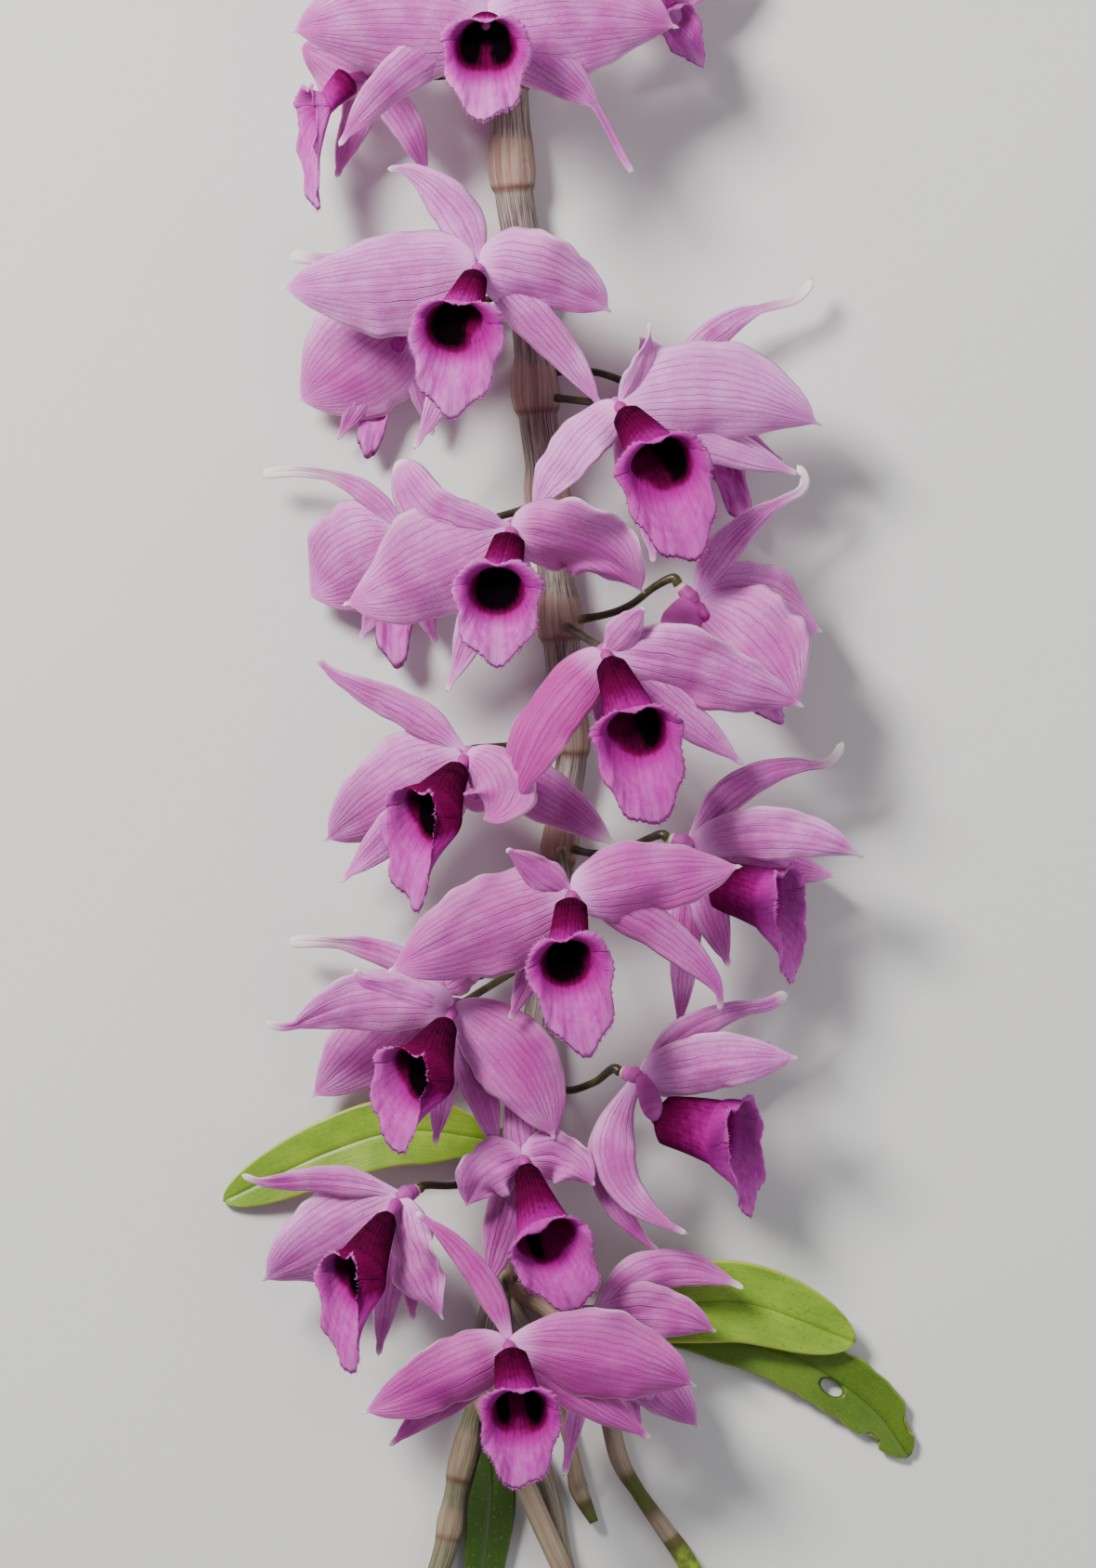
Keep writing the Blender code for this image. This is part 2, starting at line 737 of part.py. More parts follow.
def stalk(bloom):
    """The flower stalk from the middle of the cane to the back of its bloom."""
    back, end = stalk_end(bloom)
    points = [Vector(point) for point in bloom.stalk[:-1]] + [end + STALK_RUN * back]
    root = cane_centre(bloom.node_y + 4.0)
    root += STALK_ROOT * (points[0] - root).normalized()
    line = smooth_line([root] + points, 2) + [end]
    last = len(line) - 1
    radii = [between(STALK_RADIUS, OVARY_RADIUS, ease(i / last)) for i in range(last + 1)]
    return tube(line, radii, STALK_SIDES)


def build_stem(material):
    """The cane with its flower stalks and side shoots."""
    rings = cane_rings()
    pieces = [tube([centre for centre, _ in rings], [radius for _, radius in rings], CANE_SIDES)]
    pieces += [stalk(bloom) for bloom in BLOOMS]
    for shoot in SHOOTS:
        line = smooth_line([Vector(point) for point in shoot.points], 2)
        pieces.append(tube(line, spread(shoot.radii, len(line)), SHOOT_SIDES))
    return fuse("stem", pieces, material)


def build_bloom(bloom, perianth_paint, lip_paint):
    """The two solids of one bloom."""
    centre = Vector(bloom.centre)
    back, _ = stalk_end(bloom)
    pieces = [
        knob(centre + HUB_OFFSET * back, back, HUB_RADIUS, HUB_LENGTH),
        tube(foot_line(bloom), FOOT_RADII, FOOT_SIDES),
    ]
    if bloom.chin:
        chin = Vector(bloom.chin)
        length = 0.5 * chin.length + 1.5
        pieces.append(knob(centre + 0.5 * chin, chin.normalized(), CHIN_RADIUS, length))
    for sepal in bloom.sepals:
        start = centre + 0.6 * back - TEPAL_TUCK * Vector(sepal.tip).normalized()
        grid = tepal_grid(start, sepal, SEPAL_ROWS, SEPAL_STRIPS, sepal_width, SEPAL_CUP, SEPAL_WAVE)
        pieces.append(lens_sheet(grid, BLADE_THICKNESS))
    for petal in bloom.petals:
        start = centre - 0.3 * back - TEPAL_TUCK * Vector(petal.tip).normalized()
        grid = tepal_grid(start, petal, PETAL_ROWS, PETAL_STRIPS, petal_width, PETAL_CUP, PETAL_WAVE)
        pieces.append(lens_sheet(grid, BLADE_THICKNESS))
    fuse(f"{bloom.name}_perianth", pieces, perianth_paint)
    points, faces = lens_sheet(lip_grid(bloom), BLADE_THICKNESS)
    make_object(f"{bloom.name}_lip", points, faces, lip_paint)


def main():
    """Clears the scene and builds every part."""
    for obj in list(bpy.data.objects):
        bpy.data.objects.remove(obj)
    cane_paint = paint("cane", (0.26, 0.21, 0.15), 0.6)
    leaf_paint = paint("leaf", (0.20, 0.34, 0.07), 0.45)
    perianth_paint = paint("perianth", (0.60, 0.32, 0.62), 0.5)
    lip_paint = paint("lip", (0.42, 0.07, 0.36), 0.6)
    build_stem(cane_paint)
    for leaf in LEAVES:
        points, faces = lens_sheet(leaf_grid(leaf), LEAF_THICKNESS)
        make_object(leaf.name, points, faces, leaf_paint)
    for bloom in BLOOMS:
        build_bloom(bloom, perianth_paint, lip_paint)


main()
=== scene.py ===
"""Looks of the flowering dendrobium cane that lies on a pale floor.

Every bloom is built again with fine tepals and a ruffled, velvety lip, the cane gets its ribs, sheaths
and streaks, and the leaves their midribs and nibbled edges. Sizes in the rows are in millimetres, in the
frame of the solids: +Y along the cane to its cut end, +Z up, towards the camera.
"""

import logging
import math
from dataclasses import dataclass
from enum import Enum

import bpy
import numpy as np
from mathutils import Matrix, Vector


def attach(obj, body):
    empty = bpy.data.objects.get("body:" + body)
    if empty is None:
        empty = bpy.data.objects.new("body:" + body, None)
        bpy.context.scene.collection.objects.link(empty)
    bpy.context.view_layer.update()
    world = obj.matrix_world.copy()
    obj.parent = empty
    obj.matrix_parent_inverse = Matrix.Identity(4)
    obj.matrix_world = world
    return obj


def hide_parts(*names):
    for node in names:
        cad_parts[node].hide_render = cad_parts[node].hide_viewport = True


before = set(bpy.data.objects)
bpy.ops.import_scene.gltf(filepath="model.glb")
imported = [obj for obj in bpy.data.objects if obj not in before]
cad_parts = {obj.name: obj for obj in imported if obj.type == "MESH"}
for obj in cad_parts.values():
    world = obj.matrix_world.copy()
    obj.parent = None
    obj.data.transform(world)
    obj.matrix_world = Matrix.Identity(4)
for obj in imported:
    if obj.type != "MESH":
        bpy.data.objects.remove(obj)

log = logging.getLogger("orchid")

MM = 0.001
TURN = 2.0 * math.pi
UP = np.array((0.0, 0.0, 1.0))
SEAT_GAP = 0.35  # between a stalk and its ovary
HUB_LENGTH = 4.6  # of an ovary
HUB_OFFSET = 1.8  # from the middle of a bloom to its ovary
THROAT = 0.5  # share of a lip's rings that make its tube
SEEDS = 40.0  # how far apart the patterns of two blades can lie
STEEP = 0.2  # below this sine of its angle to the vertical a tube counts as upright
SMOOTH_STEP = 0.5  # between the even places at which a line is smoothed
SMOOTH_COUNT = 31  # how many of them share in each point
FINE_GRID, PLAIN_GRID = (44, 161), (24, 61)  # rings of a lip and points in each

# Shares of the way along an ovary, a column and a chin, and the radius at each.
OVARY = (0.0, 0.06, 0.3, 0.6, 0.85, 1.0), (1.2, 1.6, 2.0, 2.6, 1.7, 0.4)
COLUMN = (0.0, 0.5, 0.8, 0.93, 1.0), (1.7, 1.2, 1.3, 1.0, 0.3)
CHIN = (0.0, 0.3, 0.6, 0.8, 0.93, 1.0), (3.0, 3.8, 4.2, 3.8, 2.6, 0.6)

# What each point of a mesh carries: its place across and along a blade, half of the blade's breadth there
# and the way from its base in millimetres, how dark or sheathed it is, how pale or rimmed, one chance value
# for the whole blade, how green, how magenta (on the lower sides of tepals this holds painted shade), and
# half of the blade's full breadth.
CHANNELS = ("across", "along", "half", "reach", "heart", "tip", "tone", "green", "inside", "span")

Colour = tuple[float, float, float]
Point = tuple[float, float, float]


# Curves


def vec(values: Point) -> np.ndarray:
    """The values as an array."""
    return np.array(values, float)


def unit(vectors: np.ndarray) -> np.ndarray:
    """The vectors made one long."""
    return vectors / np.maximum(np.linalg.norm(vectors, axis=-1, keepdims=True), 1e-9)


def ease(value: np.ndarray | float) -> np.ndarray:
    """Zero below 0, one above 1, and a smooth step between."""
    value = np.clip(value, 0.0, 1.0)
    return value * value * (3.0 - 2.0 * value)


def between(low: np.ndarray | float, high: np.ndarray | float, share: np.ndarray | float) -> np.ndarray:
    """The values a share of the way from low to high."""
    return low + (high - low) * share


def arch(start: np.ndarray, middle: np.ndarray, end: np.ndarray, shares: np.ndarray) -> np.ndarray:
    """A parabola from start to end.

    Args:
        start: its first point.
        middle: the point that it passes halfway.
        end: its last point.
        shares: where along it the points are wanted, from 0 to 1.

    Returns:
        The points, one a row.
    """
    control = 2.0 * middle - 0.5 * (start + end)
    share = shares[:, None]
    rest = 1.0 - share
    return rest * rest * start + 2.0 * share * rest * control + share * share * end


def bezier(corners: tuple[np.ndarray, ...], t: float) -> np.ndarray:
    """One point on each of many curves.

    Args:
        corners: the four control points of every curve, as four arrays with a row for each.
        t: how far along the curves, from 0 to 1.

    Returns:
        The points, one a row.
    """
    first, one, two, last = corners
    rest = 1.0 - t
    return rest ** 3 * first + 3 * t * rest ** 2 * one + 3 * t * t * rest * two + t ** 3 * last


def path_length(line: np.ndarray) -> float:
    """The length of a line through points, one a row."""
    return float(np.linalg.norm(np.diff(line, axis=0), axis=1).sum())


def sample(places: np.ndarray | float, known: np.ndarray, rows: np.ndarray) -> np.ndarray:
    """The columns of the rows, each read at places between the rising known ones."""
    return np.array([np.interp(places, known, column) for column in rows.T])


def smoothed(places: np.ndarray, known: np.ndarray, rows: np.ndarray) -> np.ndarray:
    """The columns of the rows read at places, with the corners at the known places rounded off.

    Args:
        places: where they are read.
        known: the place of each row, rising.
        rows: the values at those places.

    Returns:
        One row for each column, with a value for each place.
    """
    even = np.arange(known[0], known[-1], SMOOTH_STEP)
    window = np.hanning(SMOOTH_COUNT) / np.hanning(SMOOTH_COUNT).sum()
    smooth = []
    for column in sample(even, known, rows):
        padded = np.pad(column, len(window) // 2, "reflect", reflect_type="odd")
        smooth.append(np.interp(places, even, np.convolve(padded, window, "valid")))
    return np.array(smooth)


def smooth_line(points: np.ndarray, steps: int) -> np.ndarray:
    """A smooth curve through the points.

    Args:
        points: the points to pass, one a row.
        steps: how many steps each span gets.

    Returns:
        The points of the curve, one a row.
    """
    ends = np.vstack([2.0 * points[0] - points[1], points, 2.0 * points[-1] - points[-2]])
    line = []
    for before, first, second, after in zip(ends, ends[1:], ends[2:], ends[3:]):
        for step in range(steps):
            t = step / steps
            line.append(
                0.5 * (
                    2.0 * first
                    + (second - before) * t
                    + (2.0 * before - 5.0 * first + 4.0 * second - after) * t * t
                    + (3.0 * first - before - 3.0 * second + after) * t * t * t
                )
            )
    return np.vstack(line + [points[-1]])


def limb(
    points: tuple[np.ndarray, ...], steps: int, places: tuple[float, ...], radii: tuple[float, ...]
) -> tuple[np.ndarray, np.ndarray, np.ndarray]:
    """The middle line of a tube and its radius.

    Args:
        points: what the line passes.
        steps: how many steps each span between them gets.
        places: shares of the way along, rising.
        radii: its radius at those places.

    Returns:
        The points of the line, their shares of the way along, and the radius at each.
    """
    line = smooth_line(np.vstack(points), steps)
    share = np.linspace(0.0, 1.0, len(line))
    return line, share, np.interp(share, places, radii)


def turned(vectors: np.ndarray, axes: np.ndarray, angles: np.ndarray) -> np.ndarray:
    """Turns vectors.

    Args:
        vectors: one a row.
        axes: the axis, one long, that each is turned about.
        angles: how far each is turned, in radians.

    Returns:
        The turned vectors.
    """
    cosine, sine = np.cos(angles)[:, None], np.sin(angles)[:, None]
    dot = np.sum(vectors * axes, axis=1, keepdims=True)
    return vectors * cosine + np.cross(axes, vectors) * sine + axes * dot * (1.0 - cosine)


# Meshes


class Skin:
    """Collects surfaces, in millimetres, into one mesh with values on its points."""

    def __init__(self) -> None:
        """Starts empty."""
        self.points: list[np.ndarray] = []
        self.faces: list[list[int]] = []
        self.values: dict[str, list[np.ndarray]] = {name: [] for name in CHANNELS}
        self.count = 0

    def add_points(self, points: np.ndarray, values: dict[str, np.ndarray | float]) -> int:
        """Adds points with their values.

        Args:
            points: one a row.
            values: channel name to one value, or to a value for each point.

        Returns:
            The index of the first of them.
        """
        first = self.count
        self.points.append(points)
        self.count += len(points)
        for name in CHANNELS:
            self.values[name].append(np.broadcast_to(values.get(name, 0.0), len(points)).astype(np.float32))
        return first

    def blade(
        self,
        grid: np.ndarray,
        thickness: float,
        values: dict[str, np.ndarray | float],
        under: dict[str, np.ndarray | float] | None = None,
        ring: bool = False,
        gone: np.ndarray | None = None,
    ) -> None:
        """Adds a thin closed blade whose two faces share their rim.

        Args:
            grid: the middle surface, as rows of points from base to tip.
            thickness: of the blade away from its rim.
            values: channel name to one value, or to a value for each point of the grid.
            under: the values that differ on its lower face.
            ring: whether each row is a closed ring, so that only the first and last rows are rim.
            gone: which points of the grid lie in a hole.
        """
        rows, columns, _ = grid.shape
        along = np.gradient(grid, axis=0)
        if ring:
            across = np.roll(grid, -1, axis=1) - np.roll(grid, 1, axis=1)
        else:
            across = np.gradient(grid, axis=1)
        normal = unit(np.cross(across, along))
        inner = np.zeros((rows, columns), bool)
        inner[1:-1, slice(None) if ring else slice(1, -1)] = True
        kept = np.ones((rows - 1, columns if ring else columns - 1), bool)
        if gone is not None:
            kept = ~(gone[:-1, :-1] & gone[:-1, 1:] & gone[1:, 1:] & gone[1:, :-1])
            inner &= ~gone
        offset = np.where(inner[..., None], normal * (0.5 * thickness), 0.0)
        upper = {name: np.broadcast_to(value, inner.shape) for name, value in values.items()}
        lower = values | (under or {})
        lower = {name: np.broadcast_to(value, inner.shape) for name, value in lower.items()}
        first = self.add_points((grid + offset).reshape(-1, 3), {k: v.reshape(-1) for k, v in upper.items()})
        front = first + np.arange(rows * columns).reshape(rows, columns)
        second = self.add_points((grid - offset)[inner], {k: v[inner] for k, v in lower.items()})
        rear = front.copy()
        rear[inner] = second + np.arange(inner.sum())
        for sheet, order in ((front, (0, 1, 2, 3)), (rear, (3, 2, 1, 0))):
            after = np.roll(sheet, -1, axis=1)[:, : kept.shape[1]]
            sheet = sheet[:, : kept.shape[1]]
            corners = (sheet[:-1], after[:-1], after[1:], sheet[1:])
            quads = np.stack([corners[k][kept] for k in order], axis=1)
            self.faces += quads.tolist()

    def tube(
        self, line: np.ndarray, radii: np.ndarray, sides: int, values: dict[str, np.ndarray | float]
    ) -> None:
        """Adds a closed tube.

        Args:
            line: its middle line, one point a row.
            radii: one radius for each ring, or a row of radii for each ring.
            sides: how many points each ring has.
            values: channel name to one value, or to a value for each ring or each point.
        """
        rings = len(line)
        along = unit(np.gradient(line, axis=0))
        across = np.cross(along, UP)
        steep = np.linalg.norm(across, axis=1) < STEEP
        across[steep] = (1.0, 0.0, 0.0)
        across = unit(across - np.sum(across * along, axis=1, keepdims=True) * along)
        rise = np.cross(across, along)
        angles = TURN * (np.arange(sides) + 0.5) / sides
        radii = radii[:, None] if np.ndim(radii) == 1 else radii
        wide = radii[..., None] * (
            np.sin(angles)[None, :, None] * across[:, None] - np.cos(angles)[None, :, None] * rise[:, None]
        )
        points = (line[:, None] + wide).reshape(-1, 3)
        spread = {}
        for name, value in values.items():
            if np.ndim(value) == 1 and len(value) == rings:
                value = np.repeat(value, sides)
            spread[name] = np.reshape(value, -1) if np.ndim(value) else value
        first = self.add_points(points, spread)
        index = first + np.arange(rings * sides).reshape(rings, sides)
        after = np.roll(index, -1, axis=1)
        quads = np.stack([index[:-1], index[1:], after[1:], after[:-1]], axis=-1).reshape(-1, 4)
        self.faces += quads.tolist()
        self.faces += [index[0].tolist(), index[-1][::-1].tolist()]

    def lift(self, ground: float) -> None:
        """Lifts what lies lower than the ground up to it."""
        for points in self.points:
            points[:, 2] = np.maximum(points[:, 2], ground)

    def piece(self, name: str, material: bpy.types.Material) -> bpy.types.Object:
        """Makes the object.

        Args:
            name: of the object.
            material: the one that every face takes.

        Returns:
            The object, smooth shaded, with one float attribute for each channel.
        """
        points = np.concatenate(self.points) * MM
        used = np.zeros(len(points), bool)
        used[np.concatenate([np.array(face) for face in self.faces])] = True
        renumbered = np.cumsum(used) - 1
        faces = [[int(renumbered[corner]) for corner in face] for face in self.faces]
        mesh = bpy.data.meshes.new(name)
        mesh.from_pydata(points[used].tolist(), [], faces)
        for channel, parts in self.values.items():
            attribute = mesh.attributes.new(channel, "FLOAT", "POINT")
            attribute.data.foreach_set("value", np.concatenate(parts)[used])
        mesh.materials.append(material)
        mesh.polygons.foreach_set("use_smooth", [True] * len(mesh.polygons))
        mesh.update()
        obj = bpy.data.objects.new(name, mesh)
        bpy.context.scene.collection.objects.link(obj)
        return obj


def mount(obj: bpy.types.Object, slot: str, *nodes: str) -> None:
    """Puts a piece on the object's one body and reports it.

    Args:
        obj: the piece.
        slot: its material slot; not used.
        nodes: the solids that it stands for.
    """
    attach(obj, "root")
    if nodes:
        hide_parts(*nodes)
    log.info("%s: %d faces", obj.name, len(obj.data.polygons))


# Finishes


def srgb(red: int, green: int, blue: int) -> Colour:
    """A display colour as linear light.

    Args:
        red: from 0 to 255.
        green: from 0 to 255.
        blue: from 0 to 255.

    Returns:
        The three strengths, from 0 to 1.
    """
    shares = np.array((red, green, blue)) / 255.0
    linear = np.where(shares <= 0.04045, shares / 12.92, ((shares + 0.055) / 1.055) ** 2.4)
    return tuple(float(value) for value in linear)


class Signal:
    """A value or colour that changes over the surface. Sums of signals add nodes to their shader."""

    def __init__(self, shader: "Shader", socket: bpy.types.NodeSocket) -> None:
        """Notes the shader and the socket that gives the value."""
        self.shader = shader
        self.socket = socket

    def __add__(self, other: "Value") -> "Signal":
        """The sum of both."""
        return self.shader.math("ADD", self, other)

    def __sub__(self, other: "Value") -> "Signal":
        """What is left of it without the other."""
        return self.shader.math("SUBTRACT", self, other)

    def __mul__(self, other: "Value") -> "Signal":
        """The product of both."""
        return self.shader.math("MULTIPLY", self, other)

    def __truediv__(self, other: "Value") -> "Signal":
        """Its share of the other."""
        return self.shader.math("DIVIDE", self, other)

    def __abs__(self) -> "Signal":
        """Its size without its sign."""
        return self.shader.math("ABSOLUTE", self)

    def most(self, other: "Value") -> "Signal":
        """The larger of both."""
        return self.shader.math("MAXIMUM", self, other)

    def step(self, low: "Value", high: "Value") -> "Signal":
        """Zero below low, one above high, and a smooth step between; low may be above high."""
        return self.shader.node("MapRange", {0: self, 1: low, 2: high}, interpolation_type="SMOOTHSTEP")


Value = float | Signal


class Shader:
    """A material under construction."""

    def __init__(self, name: str) -> None:
        """Makes the material with its one shader.

        Args:
            name: of the material.
        """
        self.material = bpy.data.materials.new(name)
        self.material.use_nodes = True
        self.tree = self.material.node_tree
        self.surface = self.tree.nodes["Principled BSDF"]

    def node(
        self, kind: str, inputs: dict[int | str, Value | Colour], output: int | str = 0, **settings: object
    ) -> Signal:
        """Adds a node.

        Args:
            kind: its type name, without ShaderNode.
            inputs: input name or number to a value or to the signal that feeds it.
            output: name or number of the output that is wanted.
            settings: the node's own properties.

        Returns:
            The output.
        """
        made = self.tree.nodes.new("ShaderNode" + kind)
        for name, value in settings.items():
            setattr(made, name, value)
        for name, value in inputs.items():
            self.feed(made.inputs[name], value)
        return Signal(self, made.outputs[output])

    def feed(self, socket: bpy.types.NodeSocket, value: Value | Colour) -> None:
        """Sets an input to a value, or links it to a signal.

        Args:
            socket: the input.
            value: a number, a colour or a signal.
        """
        if isinstance(value, Signal):
            self.tree.links.new(value.socket, socket)
        elif isinstance(value, tuple) and len(socket.default_value) == 4:
            socket.default_value = (*value, 1.0)
        else:
            socket.default_value = value

    def channels(self, *names: str) -> list[Signal]:
        """The values that the mesh carries on its points, by their names."""
        return [self.node("Attribute", {}, "Fac", attribute_name=name) for name in names]

    def math(self, operation: str, first: Value, second: Value = 0.0) -> Signal:
        """The result of a sum on one or two values."""
        return self.node("Math", {0: first, 1: second}, operation=operation)

    def spot(self, x: Value, y: Value, z: Value = 0.0) -> Signal:
        """A point for a texture to read."""
        return self.node("CombineXYZ", {0: x, 1: y, 2: z})

    def place(self) -> Signal:
        """The surface point in the object's own metres."""
        return self.node("TexCoord", {}, "Object")

    def noise(self, point: Signal, scale: float, detail: float = 2.0, rough: float = 0.5) -> Signal:
        """Cloudy noise between 0 and 1."""
        inputs = {"Vector": point, "Scale": scale, "Detail": detail, "Roughness": rough}
        return self.node("TexNoise", inputs)

    def net(self, point: Signal, breadth: float) -> Signal:
        """One on the threads of an uneven net, and zero in its meshes."""
        inputs = {"Vector": point, "Scale": 1.0}
        return self.node("TexVoronoi", inputs, "Distance", feature="DISTANCE_TO_EDGE").step(breadth, 0.0)

    def line(self, place: Value, spacing: float, breadth: Value, scale: Value) -> Signal:
        """One on evenly spaced lines and zero between them.

        Args:
            place: where the point is, across the lines.
            spacing: of the lines, in the same measure.
            breadth: half the breadth of a line, in millimetres.
            scale: millimetres in one of that measure.

        Returns:
            The strength of the line.
        """
        return (self.math("PINGPONG", place, 0.5 * spacing) * scale).step(breadth, 0.0)

    def mix(self, share: Value, first: Signal | Colour, second: Signal | Colour) -> Signal:
        """A colour a share of the way from first to second."""
        return self.node("Mix", {0: share, 6: first, 7: second}, 2, data_type="RGBA")

    def coats(self, colour: Signal, *coats: tuple[Signal, Signal | Colour]) -> Signal:
        """Lays coats over a colour.

        Args:
            colour: the ground.
            coats: the share that each coat covers, and its own colour.

        Returns:
            The colour on top.
        """
        for share, coat in coats:
            colour = self.mix(share, colour, coat)
        return colour

    def bump(self, height: Signal, distance: float, strength: float) -> None:
        """Raises the surface by a height, in metres for a height of one."""
        inputs = {"Height": height, "Distance": distance, "Strength": strength}
        self.feed(self.surface.inputs["Normal"], self.node("Bump", inputs))

    def dress(
        self, colour: Signal | Colour, roughness: float, specular: float, **inputs: Value | Colour
    ) -> bpy.types.Material:
        """Finishes the material.

        Args:
            colour: of the surface.
            roughness: from 0, a mirror, to 1.
            specular: strength of its highlights.
            inputs: further inputs of the shader, with underscores for the spaces in their names.

        Returns:
            The material.
        """
        inputs |= {"Base Color": colour, "Roughness": roughness, "Specular IOR Level": specular}
        for name, value in inputs.items():
            self.feed(self.surface.inputs[name.replace("_", " ")], value)
        return self.material


@dataclass(frozen=True)
class TepalFinish:
    """Lilac tissue with darker veins, a fine net between them, pale tips and a painted highlight along its
    edges.
    """

    pale: Colour = srgb(244, 170, 238)
    lilac: Colour = srgb(210, 92, 196)
    deep: Colour = srgb(180, 34, 146)
    vein: Colour = srgb(124, 14, 110)
    # cream white of its tips, also laid along its edges as a painted highlight
    tip: Colour = srgb(246, 234, 230)
    green: Colour = srgb(158, 160, 84)
    cream: Colour = srgb(225, 205, 165)
    spacing: float = 1.75  # of the main veins, in millimetres
    strength: float = 0.54  # of the veins' colour
    relief: float = 0.0005  # height of the veins and grain, in metres

    def build(self) -> bpy.types.Material:
        """Makes the material.

        Returns:
            The material.
        """
        shader = Shader("tepal")
        across, along, half, reach, tone, span, inside, white, green = shader.channels(
            "across", "along", "half", "reach", "tone", "span", "inside", "tip", "green"
        )
        wide, seed = across * half, tone * SEEDS
        flat = shader.spot(wide, reach, seed)
        wander = across * span + shader.noise(shader.spot(across, seed), 3.2, 1.0) * 1.8
        wander = wander + shader.noise(flat, 0.2, 3.0) * 1.1 + 30.0
        shrink = half / span
        streaks = shader.noise(shader.spot(wide * 0.9, reach * 0.05, seed), 0.8, 3.0, 0.6)
        main = shader.line(wander, self.spacing, 0.26, shrink) * (streaks.step(0.34, 0.6) * 0.6 + 0.4)
        fine = shader.line(wander + 0.44, 0.5 * self.spacing, 0.2, shrink) * along.step(0.15, 0.4)
        net = shader.net(shader.spot(wide * 0.9, reach * 0.4, seed), 0.12)
        fade = along.step(0.03, 0.16) * along.step(1.0, 0.8) * abs(across).step(1.0, 0.7)
        veins = main.most(fine * 0.35).most(net * 0.25) * fade
        light = across * across * 0.4 + shader.noise(flat, 0.12, 4.0, 0.6)
        speck = shader.noise(flat, 1.7, 3.0, 0.65).step(0.52, 0.3)
        blush = (tone * 0.3 + shader.noise(flat, 0.07, 2.0)).step(0.45, 1.1)
        colour = shader.coats(
            shader.mix(light.step(0.15, 1.05), self.lilac, self.pale),
            (speck * 0.3, self.deep),
            (blush * 0.6, self.deep),
            (streaks.step(0.55, 0.25) * 0.25, self.deep),
            (inside, self.deep),
            (inside * -1.0, self.pale),
            (veins * self.strength, self.vein),
            (along.step(0.2, 0.02) * 0.75, self.pale),
            # Painted highlight: a pale line along both edges, where they would catch the light.
            (abs(across).step(0.93, 1.0) * 0.55, self.tip),
            (white, self.tip),
            (green.step(0.05, 0.45), shader.mix(green.step(0.35, 0.85), self.cream, self.green)),
        )
        shader.bump(shader.noise(flat, 3.0, 2.0) * 0.35 - veins * 0.6, self.relief, 0.6)
        return shader.dress(
            colour, 0.55, 0.28, Sheen_Weight=0.06, Sheen_Roughness=0.45, Subsurface_Weight=0.1,
            Subsurface_Radius=(0.004, 0.001, 0.003), Subsurface_Scale=0.5,
        )


@dataclass(frozen=True)
class LipFinish:
    """Velvet: a near-black heart, a magenta throat, and a lilac blade with radiating veins."""

    heart: Colour = srgb(6, 0, 4)
    throat: Colour = srgb(98, 0, 60)
    magenta: Colour = srgb(166, 22, 140)
    lilac: Colour = srgb(200, 70, 182)
    rim: Colour = srgb(226, 138, 214)
    vein: Colour = srgb(140, 10, 122)
    spacing: float = 0.066  # of the main veins, as a share of half the way round the lip
    strength: float = 0.42  # of the veins' colour
    relief: float = 0.0004  # height of the veins and pile, in metres

    def build(self) -> bpy.types.Material:
        """Makes the material.

        Returns:
            The material.
        """
        shader = Shader("lip")
        across, along, half, reach, tone, heart, inside, white = shader.channels(
            "across", "along", "half", "reach", "tone", "heart", "inside", "tip"
        )
        wide, seed = across * half, tone * SEEDS
        flat = shader.spot(wide, reach, seed)
        wander = across + shader.noise(shader.spot(across, seed), 9.0, 2.0) * 0.07
        wander = wander + shader.noise(flat, 0.25, 3.0) * 0.035 + 2.0
        main = shader.line(wander, self.spacing, 0.26, half)
        fine = shader.line(wander + 0.25 * self.spacing, 0.5 * self.spacing, 0.16, half)
        net = shader.net(shader.spot(wide * 0.7, reach * 0.4, seed), 0.1)
        veins = main.most(fine * along.step(0.6, 0.8) * 0.6).most(net * 0.3)
        veins = veins * (shader.noise(flat, 0.45, 2.0).step(0.3, 0.65) * 0.7 + 0.3)
        cloud = shader.noise(flat, 0.5, 3.0)
        depth = heart + veins * 0.09 + cloud * 0.2 - 0.1
        colour = shader.coats(
            shader.mix(cloud.step(0.35, 0.7) * 0.45, self.lilac, self.rim),
            (along.step(0.9, 1.0) * 0.6, self.rim),
            (inside, self.magenta),
            (veins * self.strength, self.vein),
            (depth.step(0.14, 0.46), self.magenta),
            (depth.step(0.4, 0.7), self.throat),
            (depth.step(0.66, 0.98), self.heart),
            (white, self.rim),
        )
        shader.bump(shader.noise(flat, 5.0, 2.0) * 0.6 - veins * 0.35, self.relief, 0.5)
        return shader.dress(colour, 0.85, 0.04)


